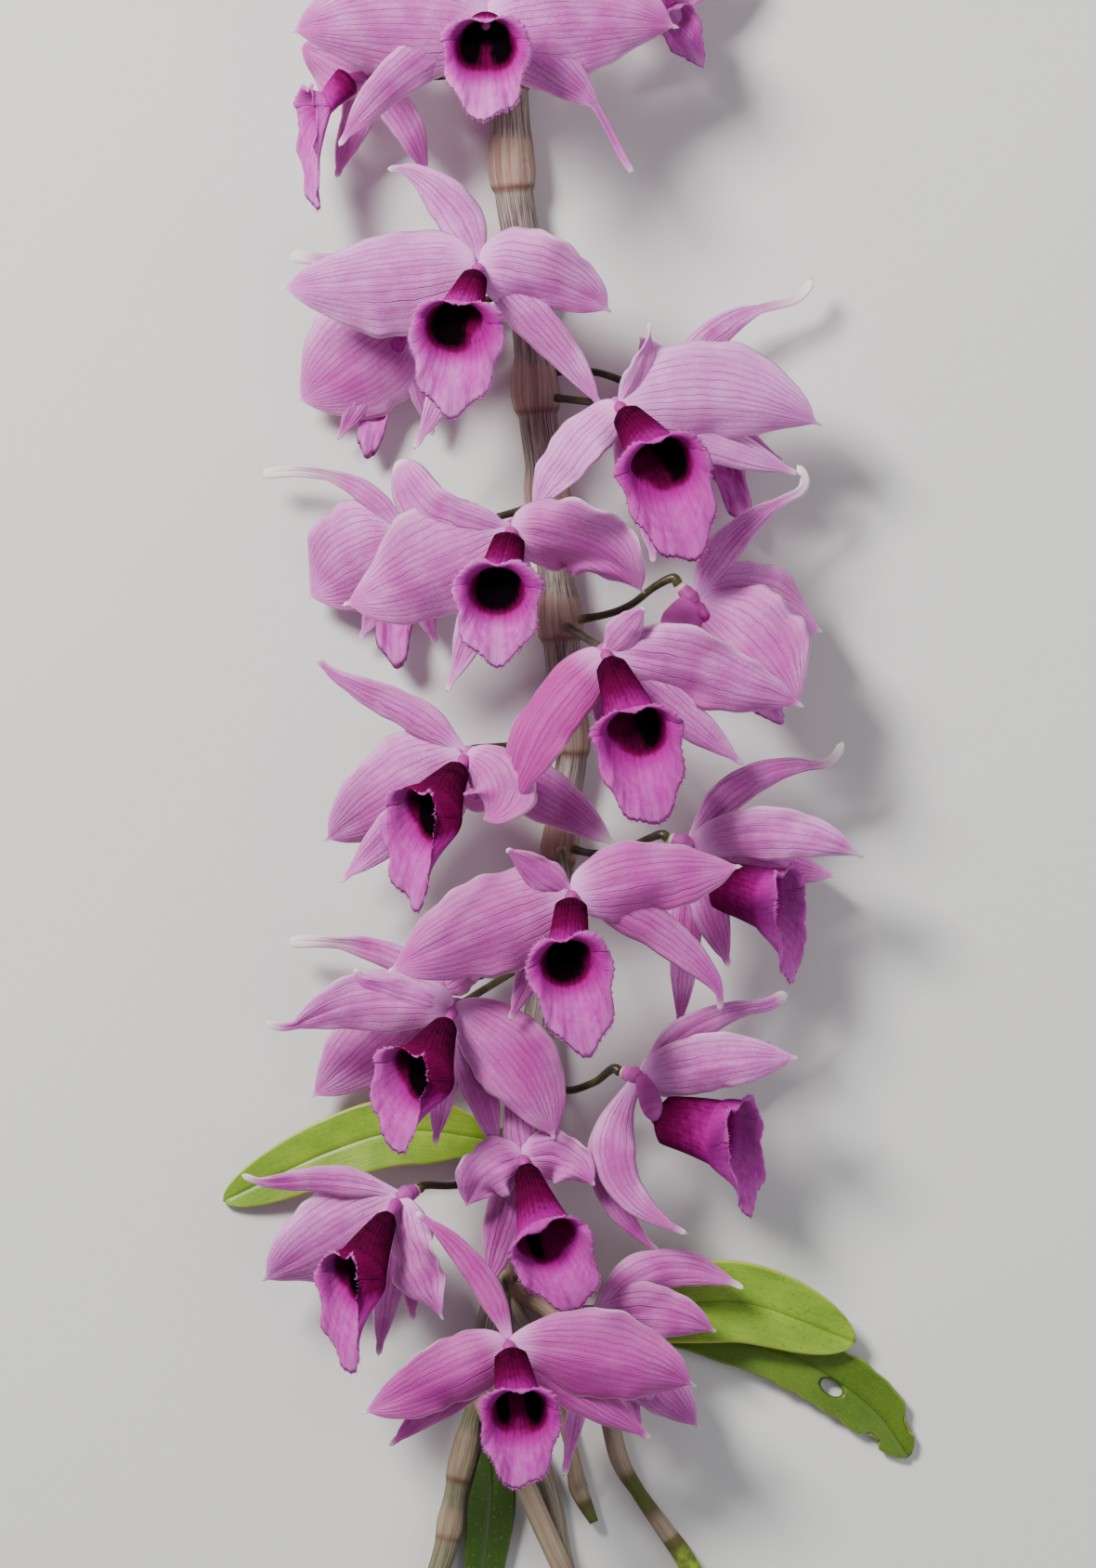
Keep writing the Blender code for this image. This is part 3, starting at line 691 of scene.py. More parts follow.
@dataclass(frozen=True)
class CaneFinish:
    """Grey-beige cane with dark lengthwise streaks under pinkish, papery sheaths."""

    bare: Colour = srgb(180, 166, 152)
    dark: Colour = srgb(84, 68, 70)
    sheath: Colour = srgb(180, 156, 138)
    blush: Colour = srgb(160, 120, 106)
    rim: Colour = srgb(104, 66, 44)
    ash: Colour = srgb(150, 144, 108)
    green: Colour = srgb(92, 104, 44)
    bright: Colour = srgb(150, 178, 40)
    relief: float = 0.0006  # height of the streaks, in metres

    def build(self) -> bpy.types.Material:
        """Makes the material.

        Returns:
            The material.
        """
        shader = Shader("cane")
        around, reach, band, rim, green, bleach = shader.channels(
            "across", "reach", "heart", "tip", "green", "tone"
        )
        sine, cosine = (shader.math(name, around * TURN) for name in ("SINE", "COSINE"))
        ring = shader.spot(cosine, sine, reach * 0.006)
        streaks, broad = shader.noise(ring, 12.0, 5.0, 0.7), shader.noise(ring, 2.2, 3.0)
        spots = shader.noise(shader.place(), 420.0, 3.0)
        lines = streaks.step(0.38, 0.6)
        slant = (band + sine * 0.16 + broad * 0.3 - 0.15).step(0.28, 0.62)
        paper = shader.coats(
            shader.mix(broad.step(0.35, 0.65), self.blush, self.sheath),
            (streaks.step(0.52, 0.4) * 0.3, self.dark),
            (spots.step(0.62, 0.75) * 0.35, self.rim),
        )
        fresh = shader.mix(spots.step(0.3, 0.7), self.green, self.bright)
        colour = shader.coats(
            shader.mix(lines, self.dark, self.bare),
            (broad.step(0.6, 0.35) * 0.35, self.dark),
            (slant * 0.8, paper),
            (bleach * (lines * 0.55 + 0.15), self.ash),
            (green.step(0.0, 1.0), shader.mix(green.step(1.2, 1.8), self.green, fresh)),
            (rim * 0.8, self.rim),
        )
        shader.bump(streaks + spots * 0.25, self.relief, 0.6)
        return shader.dress(colour, 0.58, 0.4)


@dataclass(frozen=True)
class StalkFinish:
    """Smooth olive-brown flower stalks, greener towards the bloom."""

    brown: Colour = srgb(46, 38, 24)
    olive: Colour = srgb(74, 72, 38)
    pale: Colour = srgb(206, 194, 158)
    relief: float = 0.0003  # height of the grain, in metres

    def build(self) -> bpy.types.Material:
        """Makes the material.

        Returns:
            The material.
        """
        shader = Shader("stalk")
        (along,) = shader.channels("along")
        place = shader.place()
        colour = shader.coats(
            shader.mix(shader.noise(place, 260.0, 3.0).step(0.35, 0.7), self.brown, self.olive),
            (along.step(0.12, 0.0), self.pale),
            (along.step(0.82, 1.0) * 0.6, self.olive),
        )
        shader.bump(shader.noise(place, 1500.0, 2.0), self.relief, 0.4)
        return shader.dress(colour, 0.32, 0.5)


@dataclass(frozen=True)
class LeafFinish:
    """Waxy yellow-green leaf with faint parallel veins and a paler edge."""

    light: Colour = srgb(150, 184, 52)
    mid: Colour = srgb(120, 158, 42)
    dark: Colour = srgb(34, 64, 6)
    edge: Colour = srgb(200, 196, 84)
    relief: float = 0.0005  # height of the grain, in metres

    def build(self) -> bpy.types.Material:
        """Makes the material.

        Returns:
            The material.
        """
        shader = Shader("leaf")
        across, half, reach, tone = shader.channels("across", "half", "reach", "tone")
        wide = across * half
        flat = shader.spot(wide, reach, tone * 30.0)
        grain = shader.noise(shader.spot(wide, reach * 0.04, tone), 2.2, 3.0)
        specks = shader.noise(flat, 1.6, 3.0)
        colour = shader.coats(
            shader.mix(shader.noise(flat, 0.08, 3.0).step(0.3, 0.7), self.mid, self.light),
            (tone.step(0.0, 1.0) * 0.97, self.dark),
            (grain.step(0.55, 0.35) * 0.12, self.dark),
            (specks.step(0.45, 0.3) * 0.3, self.dark),
            (specks.step(0.58, 0.8) * 0.22, self.edge),
            (abs(wide).step(0.5, 0.0) * 0.6, self.dark),
            (abs(across).step(0.9, 1.0) * (tone * -0.8 + 0.8), self.edge),
        )
        shader.bump(grain * 0.4 + specks * 0.25, self.relief, 0.35)
        return shader.dress(
            colour, 0.4, 0.45, Subsurface_Weight=0.08, Subsurface_Radius=(0.001, 0.003, 0.001),
            Subsurface_Scale=0.5,
        )


@dataclass(frozen=True)
class FloorFinish:
    """Plain pale floor."""

    pale: Colour = srgb(232, 231, 229)

    def build(self) -> bpy.types.Material:
        """Returns the material."""
        return Shader("floor").dress(self.pale, 0.9, 0.1)


# Blooms


class Kind(Enum):
    """Which part of a bloom a tepal is."""

    SEPAL = "sepal"
    PETAL = "petal"


@dataclass(frozen=True)
class Habit:
    """How the tepals of one kind are shaped."""

    columns: int  # points across
    cup: float  # how far its edges fall, as a share of its half width
    wave: float  # height of its waves
    crease: float  # height of its crease
    nib: float  # half the breadth of its narrow tip


HABITS = {Kind.PETAL: Habit(23, 0.2, 1.5, 1.0, 0.6), Kind.SEPAL: Habit(15, 0.24, 0.7, 0.3, 0.95)}


@dataclass
class Tepal:
    """A petal or sepal, placed from the middle of its bloom."""

    tip: Point
    width: float
    bow: float = 0.0  # how far its middle swings to the left of the way to the tip
    lift: float = 2.0  # how far its middle rises above the straight way to the tip
    roll: float = 0.0  # degrees that it is turned about its own length
    twist: float = 0.0  # further degrees from base to tip
    hook: Point = (0.0, 0.0, 0.0)  # how far the last third bends away
    curl: float = 0.0  # degrees that its tip curls to the left
    skew: float = 0.0  # how much broader it is to the right of its midrib
    white: float = 0.06  # share of its length that the pale tip takes
    wave: float = 1.0  # how much its edges undulate
    beak: float = 0.05  # share of its length that the narrow tip takes
    fold: float = 0.0  # how far one edge falls below the other, as a share of its half width
    droop: float = 0.35  # how far its lower side hangs, as a share of its half width
    deep: float = 0.0  # how much more magenta it is
    full: float = 0.0  # how broad its end is
    blush: float = 0.2  # painted shade, as deeper magenta, on its lower side, which faces away from the light
    nib: float = 0.0  # half the breadth of its narrow tip, or zero for the usual
    thickness: float = 0.55
    rows: int = 44  # points from base to tip
    limp: float = 35.0  # degrees that its end may be turned to either side by chance

    def outline(self, kind: Kind, share: np.ndarray) -> np.ndarray:
        """Its outline.

        Args:
            kind: whether it is a petal or a sepal.
            share: shares of its length.

        Returns:
            Half of its breadth there, in millimetres.
        """
        body = (share / (1.0 - self.beak)).clip(0.0, 1.0)
        if kind is Kind.PETAL:
            arc = np.sin(math.pi * body ** (0.8 + 0.5 * self.full)).clip(0.0)
            body = 0.1 * (1.0 - body) + arc ** 0.6
        else:
            taper = (1.0 - body ** (2.8 + 8.0 * self.full)).clip(0.0) ** 0.75
            body = (0.3 + 0.7 * ease(body / 0.38)) * taper
        blunt = self.nib or HABITS[kind].nib
        nib = blunt * np.sqrt((1.0 - ((share - 0.94) / 0.06).clip(0.0, 1.0) ** 2).clip(0.0004))
        return np.maximum(0.5 * self.width * body, np.where(share > 0.5, nib, 0.8))

    def spine(self, start: np.ndarray, share: np.ndarray) -> np.ndarray:
        """Its midrib.

        Args:
            start: where it starts.
            share: shares of its length.

        Returns:
            Its points there, one a row.
        """
        tip = start + vec(self.tip)
        left = unit(np.cross(UP, tip - start))
        middle = 0.5 * (start + tip) + self.bow * left + self.lift * UP
        line = arch(start, middle, tip, share) + vec(self.hook) * ease((share - 0.65) / 0.35)[:, None]
        if self.curl:
            steps = np.diff(line, axis=0)
            angles = math.radians(self.curl) * ease((share[1:] - 0.8) / 0.2)
            axes = np.broadcast_to(UP, steps.shape)
            line = np.vstack([line[:1], line[0] + np.cumsum(turned(steps, axes, angles), axis=0)])
        return line

    def relief(
        self, kind: Kind, u: np.ndarray, t: np.ndarray, half: np.ndarray, chance: np.ndarray,
        phases: np.ndarray,
    ) -> np.ndarray:
        """How far its points stand out of the flat: waves, midrib groove, pleats and one crease.

        Args:
            kind: whether it is a petal or a sepal.
            u: places across it, from -1 to 1.
            t: shares of its length.
            half: half its breadth at those shares.
            chance: two values from -1 to 1 that slant and strengthen its crease.
            phases: three angles at which its waves start.

        Returns:
            The heights, in millimetres, a row for each share of its length.
        """
        right, left, third = phases
        habit = HABITS[kind]
        swell = np.sin(math.pi * t).clip(0.0)
        off = np.abs(u)
        side = np.where(u > 0, right, left)
        ripple = 0.7 * np.sin(9.0 * t + 2.2 * u) * off + 0.5 * np.sin(15.0 * t + side) * off ** 2.2
        ripple = ripple + 0.25 * np.sin(31.0 * t + 2.0 * side) * off ** 4
        bulge = 0.45 * np.sin(5.0 * t + third) * np.cos(2.4 * u + third)
        groove = -0.5 * np.exp(-((u * half) / 0.8) ** 2) * swell
        pleats = 0.08 * np.cos(u * 8.7 * math.pi + 0.7 * np.sin(3.0 * u + third)) * swell * (1.0 - off ** 3)
        slant = u - 0.9 * chance[1] + (1.6 * t - 0.8) * np.sign(chance[0])
        crease = 0.9 * np.exp(-((slant * half / 1.8) ** 2)) * swell
        crease = crease * (np.abs(chance[1]) - 0.2) * np.sign(chance[0])
        waves = habit.wave * swell * (ripple + bulge) + habit.crease * crease
        return self.wave * waves + groove + pleats

    def add(
        self, skin: Skin, start: np.ndarray, kind: Kind, deep: float, draw: np.random.Generator
    ) -> None:
        """Adds its blade.

        Args:
            skin: what it is added to.
            start: where its midrib starts.
            kind: whether it is a petal or a sepal.
            deep: how magenta its whole bloom is.
            draw: source of its chance unevenness.
        """
        habit = HABITS[kind]
        chance = draw.uniform(-1.0, 1.0, 2)
        share = np.linspace(0.0, 1.0, self.rows) ** 0.9
        u = np.linspace(-1.0, 1.0, habit.columns)[None, :]
        t = share[:, None]
        line = self.spine(start, share)
        along = unit(np.gradient(line, axis=0))
        twist = self.twist * share + self.limp * chance[0] * ease((share - 0.55) / 0.45)
        across = turned(unit(np.cross(along, UP)), along, np.radians(self.roll + twist))
        half = self.outline(kind, share)[:, None]
        phases = draw.uniform(0.0, TURN, 3)
        swell = np.sin(math.pi * t).clip(0.0)
        lower = (-u * across[:, 1:2]).clip(0.0) ** 1.6
        sag = (habit.cup * u * u + self.fold * u * swell + self.droop * lower * swell) * half
        lifted = self.relief(kind, u, t, half, chance, phases) - sag
        side = np.where(u > 0, phases[0], phases[1])
        uneven = 0.05 * np.sin(6.5 * t + 2.0 * side) + 0.03 * np.sin(15.0 * t + side)
        uneven = uneven + 0.018 * np.sin(37.0 * t)
        breadth = u * half * (1.0 + self.skew * np.sign(u) * swell)
        breadth = breadth * (1.0 + self.wave * uneven * np.abs(u) ** 2.2 * swell)
        grid = line[:, None] + breadth[..., None] * across[:, None]
        grid = grid + lifted[..., None] * np.cross(across, along)[:, None]
        values = {
            "across": u, "along": t, "half": half, "reach": t * path_length(line),
            "tip": ease((t - 1.0 + self.white) / self.white), "tone": float(draw.uniform()),
            # Its lower side, turned away from the light, gets painted shade as deeper magenta.
            "inside": self.deep + deep + self.blush * lower * swell, "span": 0.5 * self.width,
        }
        skin.blade(grid, self.thickness, values, {"inside": 0.5 + deep})


@dataclass
class Lip:
    """The lip: a trumpet round the column whose lower side runs out into a ruffled blade."""

    tip: Point
    width: float
    face: Point = (0.0, 0.0, 1.0)  # direction from the middle of the bloom to its small end
    mouth: Point | None = None  # middle of its mouth, from the middle of the bloom
    gaze: Point | None = None  # direction that the mouth faces, if it isn't face
    wide: tuple[float, float] = (0.5, 0.5)  # reach of its side lobes, as shares of its width
    flare: tuple[float, float] = (1.0, 1.0)  # how flat each side lobe spreads
    top: float = 7.0  # from the middle of the mouth to its upper rim
    dark: tuple[float, float] = (1.0, 1.0)  # strength of its two blotches
    girth: float = 0.19  # radius of its throat, as a share of its width
    heart: float = 0.29  # radius of its dark heart, as a share of its width
    low: float = 0.06  # how far that heart lies towards the tip, as a share of its width
    mid: float = 0.9  # strength of the stripe between the blotches
    neck: float = 3.7  # radius of its small end
    start: Point | None = None  # middle of its small end, from the middle of the bloom
    depth: float = 3.2  # from its throat to the middle of its mouth
    stain: float = 0.8  # share of its length that is dark outside
    deep: float = 0.0  # how much more magenta its blade is
    bell: float = 0.8  # power by which its tube widens
    pale: float = 1.0  # strength of all its dark parts
    column: float = 0.02  # how far the column reaches from its small end to its mouth
    rise: tuple[float, float] = (0.0, 0.0)  # how far each side lobe's edge stands out of the mouth
    fine: bool = True  # whether it has the full number of points and the hairs
    thickness: float = 0.4
    ruffle: float = 0.62  # height of the waves along its edge
    frill: float = 0.8  # how far they carry its edge out and in
    hairs: int = 420
    hair_lengths: tuple[float, float] = (0.35, 0.95)
    hair_root: float = 0.15  # how deep a hair starts inside the edge

    def axes(self) -> tuple[np.ndarray, np.ndarray]:
        """Its own directions.

        Returns:
            The direction to its tip and the one that its opening faces, at right angles.
        """
        ahead = unit(vec(self.tip))
        face = vec(self.face)
        return ahead, unit(face - face.dot(ahead) * ahead)

    def base(self) -> np.ndarray:
        """The middle of the trumpet's small end, from the middle of the bloom."""
        ahead, face = self.axes()
        return vec(self.start) if self.start else 1.8 * ahead + 5.0 * face

    def centre(self) -> np.ndarray:
        """The middle of its mouth, from the middle of the bloom."""
        return vec(self.mouth) if self.mouth else 0.42 * vec(self.tip) + 9.0 * self.axes()[1]

    def outlook(self) -> np.ndarray:
        """The direction that its mouth faces."""
        return unit(vec(self.gaze or self.face))

    def rim(self, turns: np.ndarray, frame_axes: np.ndarray) -> np.ndarray:
        """Its edge.

        Args:
            turns: angles about the mouth, 0 towards the tip.
            frame_axes: rows of the directions to the side, to the tip and out of the mouth.

        Returns:
            One point for each angle, from the middle of the bloom.
        """
        over, down = np.sin(turns), np.cos(turns)
        low, high = down.clip(0.0), (-down).clip(0.0)
        to_tip = frame_axes @ (vec(self.tip) - self.centre())
        reach = np.where(over > 0, self.wide[1], self.wide[0]) * self.width
        side = reach * np.sign(over) * np.abs(over) ** 0.82 + to_tip[0] * low ** 1.6
        point = 0.05 * np.exp(-((turns / 0.16) ** 2))
        ahead = to_tip[1] * (low ** 1.08 - 0.05 + point) * (low > 0)
        notch = 0.25 * np.exp(-(((np.abs(turns) - math.pi) / 0.22) ** 2))
        ahead = ahead - self.top * (high - notch)
        out = to_tip[2] * low ** 1.5 + 2.2 * high
        out = out + np.where(over > 0, self.rise[1], self.rise[0]) * np.abs(over) ** 1.5
        return self.centre() + np.stack([side, ahead, out], axis=1) @ frame_axes

    def grid(self, rows: int, columns: int, draw: np.random.Generator) -> np.ndarray:
        """Its middle surface, from the middle of the bloom.

        Args:
            rows: how many rings from its small end to its edge.
            columns: how many points round it.
            draw: source of its chance unevenness.

        Returns:
            Rings of points from its small end to its edge.
        """
        start, middle, gaze = self.base(), self.centre(), self.outlook()
        onward = vec(self.tip) - middle
        onward = unit(onward - onward.dot(gaze) * gaze)
        side = np.cross(onward, gaze)
        turns = np.linspace(-math.pi, math.pi, columns, endpoint=False)
        first = unit(middle - start)
        second = unit(0.62 * first + 0.55 * gaze)
        throat = middle - self.depth * second
        rim = self.rim(turns, np.stack([side, onward, gaze]))
        outward = unit(rim - middle)
        flare = np.where(turns > 0, self.flare[1], self.flare[0])
        flare = between(flare, 1.0, (np.cos(turns) ** 2 / 1.06 + 0.02) ** 0.3)[:, None]
        approach = unit(flare * outward + (1.0 - flare) * gaze)
        places = np.linspace(0.0, 1.0, 21)
        middle_line = arch(start, 0.5 * (start + throat) + 0.5 * self.axes()[1], throat, places)
        rings = []
        for row in np.linspace(0.0, 1.0, rows):
            share = min(row / THROAT, 1.0)
            heading = unit(between(first, second, share))
            across = unit(side - side.dot(heading) * heading)
            down = np.cross(heading, across)
            centre = sample(share, places, middle_line)
            breadth = between(self.neck, self.girth * self.width, share ** self.bell)
            breadth = breadth * between(0.3, 1.0, ease(share / 0.16) ** 0.6)
            aside = np.sin(turns)[:, None] * across * between(1.0, 1.3, share)
            ring = centre + breadth * (aside + np.cos(turns)[:, None] * down)
            if row > THROAT:
                gap = np.linalg.norm(rim - ring, axis=1, keepdims=True)
                leave = unit(0.7 * second + unit(ring - centre))
                one = ring + 0.32 * np.minimum(gap, 12.0) * leave
                two = rim - 0.42 * gap * approach + 1.8 * flare * gaze
                ring = bezier((ring, one, two, rim), (row - THROAT) / (1.0 - THROAT))
            rings.append(ring)
        return self.ruffled(np.stack(rings), turns, rim, draw)

    def ruffled(
        self, grid: np.ndarray, turns: np.ndarray, rim: np.ndarray, draw: np.random.Generator
    ) -> np.ndarray:
        """Its middle surface with ruffles and teeth along the edge and a crease above.

        Args:
            grid: the smooth rings.
            turns: angles of their points about the mouth.
            rim: the smooth edge.
            draw: source of its chance unevenness.

        Returns:
            The ruffled rings.
        """
        gaze = self.outlook()
        v = np.linspace(0.0, 1.0, len(grid))[:, None]
        steps = np.linalg.norm(np.roll(rim, -1, axis=0) - rim, axis=1)
        run = (np.cumsum(steps) * TURN * round(steps.sum() / TURN) / steps.sum())[None, :]
        one, two, three = draw.uniform(0.0, TURN, 3)
        edge = ease((v - 0.7) / 0.3)
        calm = 0.35 + 0.65 * np.cos(0.5 * turns)[None, :] ** 2
        waves = np.sin(run * 0.5 + one) + 0.5 * np.sin(run + two) + 0.22 * np.sin(run * 2 + three)
        grid = grid + (self.ruffle * waves * calm * edge ** 2)[..., None] * gaze
        tooth = 0.18 * np.sin(run * 3 + one) + 0.14 * np.sin(run * 4 + two)
        tooth = tooth + self.frill * np.sin(run * 0.5 + three) * calm
        grid = grid + (tooth * ease((v - 0.86) / 0.14))[..., None] * unit(rim - self.centre())[None]
        crease = np.exp(-(((np.abs(turns) - math.pi) / 0.12) ** 2))[None, :] * (1.0 - edge)
        return grid - (0.15 * crease)[..., None] * gaze

    def stains(self, grid: np.ndarray, turns: np.ndarray, v: np.ndarray) -> tuple[np.ndarray, np.ndarray]:
        """How dark it is on its inner and on its outer face.

        Args:
            grid: its middle surface, from the middle of the bloom.
            turns: angles of its points about the mouth.
            v: shares of the way from its small end to its edge.

        Returns:
            Two strengths for each point.
        """
        gaze = self.outlook()
        onward = unit(vec(self.tip) - self.centre())
        off = grid - self.centre() - self.low * self.width * onward
        off = off - (off @ gaze)[..., None] * gaze
        away = np.linalg.norm(off, axis=2) / (self.heart * self.width)
        away = away * (1.0 + 0.1 * np.cos(2.0 * turns)) * between(0.5, 1.0, ease((v - 0.3) / 0.25))
        sides = np.where(turns > 0, self.dark[1], self.dark[0])
        strength = between(self.mid, sides, ease(np.abs(turns) / 0.9))
        blot = strength * (1.0 - ease((away - 0.5) / 1.0))
        halo = 0.55 * np.exp(-(((away - 0.6) / 0.95) ** 2))
        throat = between(0.8, 0.95, ease((0.42 - v) / 0.2)) * (1.0 - ease((v - 0.45) / 0.26))
        throat = throat * between(0.78, 1.0, ease(strength))
        heart = np.maximum(np.maximum(1.08 * blot, halo), throat)
        above = ease((np.abs(turns) - 2.2) / 0.7) * ease((v - 0.84) / 0.14)
        below = ease((1.4 - np.abs(turns)) / 0.8) * ease((v - 0.5) / 0.2)
        outside = self.pale * 0.74 * (1.0 - ease((v - 0.05) / self.stain)) + 0.1
        return self.pale * heart * (1.0 - 0.7 * above), outside * between(1.0, 0.3, below)

    def add(self, skin: Skin, centre: np.ndarray, draw: np.random.Generator) -> None:
        """Adds its blade and hairs.

        Args:
            skin: what they are added to.
            centre: the middle of the bloom.
            draw: source of its chance unevenness.
        """
        rows, columns = FINE_GRID if self.fine else PLAIN_GRID
        grid = self.grid(rows, columns, draw)
        v = np.linspace(0.0, 1.0, rows)[:, None]
        turns = np.linspace(-math.pi, math.pi, columns, endpoint=False)[None, :]
        heart, outside = self.stains(grid, turns, v)
        grid = centre + grid
        around = np.linalg.norm(np.diff(grid, axis=1), axis=2).sum(axis=1)[:, None]
        values = {
            "across": turns / math.pi, "along": v, "half": 0.5 * around,
            "reach": v * path_length(grid[:, columns // 2]), "heart": heart,
            "tone": float(draw.uniform()), "inside": self.deep,
            "tip": max(0.5 - self.deep, 0.1) * np.exp(-((turns / 0.16) ** 2)) * ease((v - 0.66) / 0.2),
        }
        skin.blade(grid, self.thickness, values, {"heart": outside}, ring=True)
        if self.fine:
            self.fringe(skin, grid, draw)

    def fringe(self, skin: Skin, grid: np.ndarray, draw: np.random.Generator) -> None:
        """Adds the fine hairs along its edge, each a slim pyramid.

        Args:
            skin: what they are added to.
            grid: the rings of its middle surface.
            draw: source of their chance length and lean.
        """
        count, columns = self.hairs, grid.shape[1]
        place = np.sort(draw.uniform(0.0, columns, count))
        low = place.astype(int) % columns
        share = (place - place.astype(int))[:, None]
        root = between(grid[-1, low], grid[-1, (low + 1) % columns], share)
        inner = between(grid[-3, low], grid[-3, (low + 1) % columns], share)
        ahead = unit(unit(root - inner) + draw.normal(0.0, 0.35, (count, 3)))
        aside = unit(grid[-1, (low + 1) % columns] - grid[-1, low])
        over = np.cross(ahead, aside)
        long = draw.uniform(*self.hair_lengths, count)[:, None]
        foot = root - self.hair_root * ahead
        corners = (
            foot + 0.09 * aside, foot - 0.05 * aside + 0.08 * over, foot - 0.05 * aside - 0.08 * over,
            root + long * ahead,
        )
        values = {"along": 1.0, "half": 1.0, "tip": 0.35, "heart": 0.1}
        first = skin.add_points(np.stack(corners, axis=1).reshape(-1, 3), values)
        starts = first + 4 * np.arange(count)[:, None]
        for order in ((0, 1, 3), (1, 2, 3), (2, 0, 3), (2, 1, 0)):
            skin.faces += (starts + np.array(order)).tolist()


@dataclass
class Bloom:
    """One flower: where it sits, its five tepals, its lip and its stalk from the cane."""

    name: str
    centre: Point
    node_y: float  # where along the cane its stalk grows
    sepals: tuple[Tepal, ...]
    petals: tuple[Tepal, ...]
    lip: Lip
    stalk: tuple[Point, ...]  # points that its stalk passes
    chin: Point | None = None  # from its middle to the end of its swollen chin, where that shows
    deep: float = 0.0  # how much more magenta it is
    plump: float = 1.0  # how thick the chin is, as a share of the usual

    def back(self) -> np.ndarray:
        """The direction from its middle to its stalk."""
        return unit(vec(self.stalk[-1]) - vec(self.centre))

    def stalk_end(self) -> np.ndarray:
        """Where its stalk meets its ovary."""
        return vec(self.centre) + (HUB_OFFSET + HUB_LENGTH + SEAT_GAP) * self.back()

    def perianth(self, finish: bpy.types.Material, draw: np.random.Generator) -> bpy.types.Object:
        """Builds its sepals, petals, ovary, column and chin as one piece.

        Args:
            finish: the material.
            draw: source of chance unevenness.

        Returns:
            The piece.
        """
        skin = Skin()
        centre, back = vec(self.centre), self.back()
        ends = (self.stalk_end() - SEAT_GAP * back, centre + 3.0 * back, centre - 0.8 * back)
        line, share, radii = limb(ends, 7, *OVARY)
        skin.tube(line, radii, 18, {
            "green": 0.55 * (1.0 - ease(share / 0.22)), "along": 0.3, "half": 3.0, "span": 3.0,
            "reach": share * 9.0, "tone": draw.uniform(), "inside": 0.35 + self.deep,
        })
        foot = centre + self.lip.base()
        mouth = vec(self.lip.mouth) if self.lip.mouth else self.lip.base() + 6.0 * self.lip.axes()[1]
        inner = between(foot, centre + mouth, self.lip.column)
        line, share, radii = limb((centre + 0.4 * self.lip.base(), foot, inner), 8, *COLUMN)
        skin.tube(line, radii, 14, {"inside": 0.8, "along": 0.3, "half": 2.0, "span": 2.0, "reach": share})
        if self.chin:
            chin = vec(self.chin)
            line, share, radii = limb((centre, centre + 0.5 * chin, centre + 1.02 * chin), 8, *CHIN)
            skin.tube(line, self.plump * radii, 18, {
                "along": 0.3, "half": 3.0, "span": 3.0, "inside": 0.6, "reach": 14.0 * share,
            })
        for kind, tepals, behind in ((Kind.SEPAL, self.sepals, 0.6), (Kind.PETAL, self.petals, -0.3)):
            for tepal in tepals:
                start = centre + behind * back - 0.5 * unit(vec(tepal.tip))
                tepal.add(skin, start, kind, self.deep, draw)
        return skin.piece(f"{self.name}_tepals", finish)

    def velvet(self, finish: bpy.types.Material, draw: np.random.Generator) -> bpy.types.Object:
        """Builds its lip.

        Args:
            finish: the material.
            draw: source of chance unevenness.

        Returns:
            The piece.
        """
        skin = Skin()
        self.lip.add(skin, vec(self.centre), draw)
        return skin.piece(f"{self.name}_velvet", finish)


# What the lips of blooms that are turned away, or that look left or right, have in common.
REAR = {"top": 4, "neck": 1.5, "dark": (0, 0), "mid": 0, "pale": 0.3, "fine": False}
LEFTWARD = {
    "face": (-0.6, 0.1, 0.8), "flare": (0.0, 1.0), "dark": (1.2, 1.2), "rise": (1.5, 0), "depth": 4.5,
    "stain": 2.4, "deep": 0.3, "bell": 1.0,
}
RIGHTWARD = {
    "face": (0.75, 0.45, 0.12), "gaze": (0.82, 0.05, 0.57), "flare": (1.0, 0.0), "top": 9.0, "neck": 5.5,
    "depth": 4, "stain": 1.3, "pale": 0.75,
}

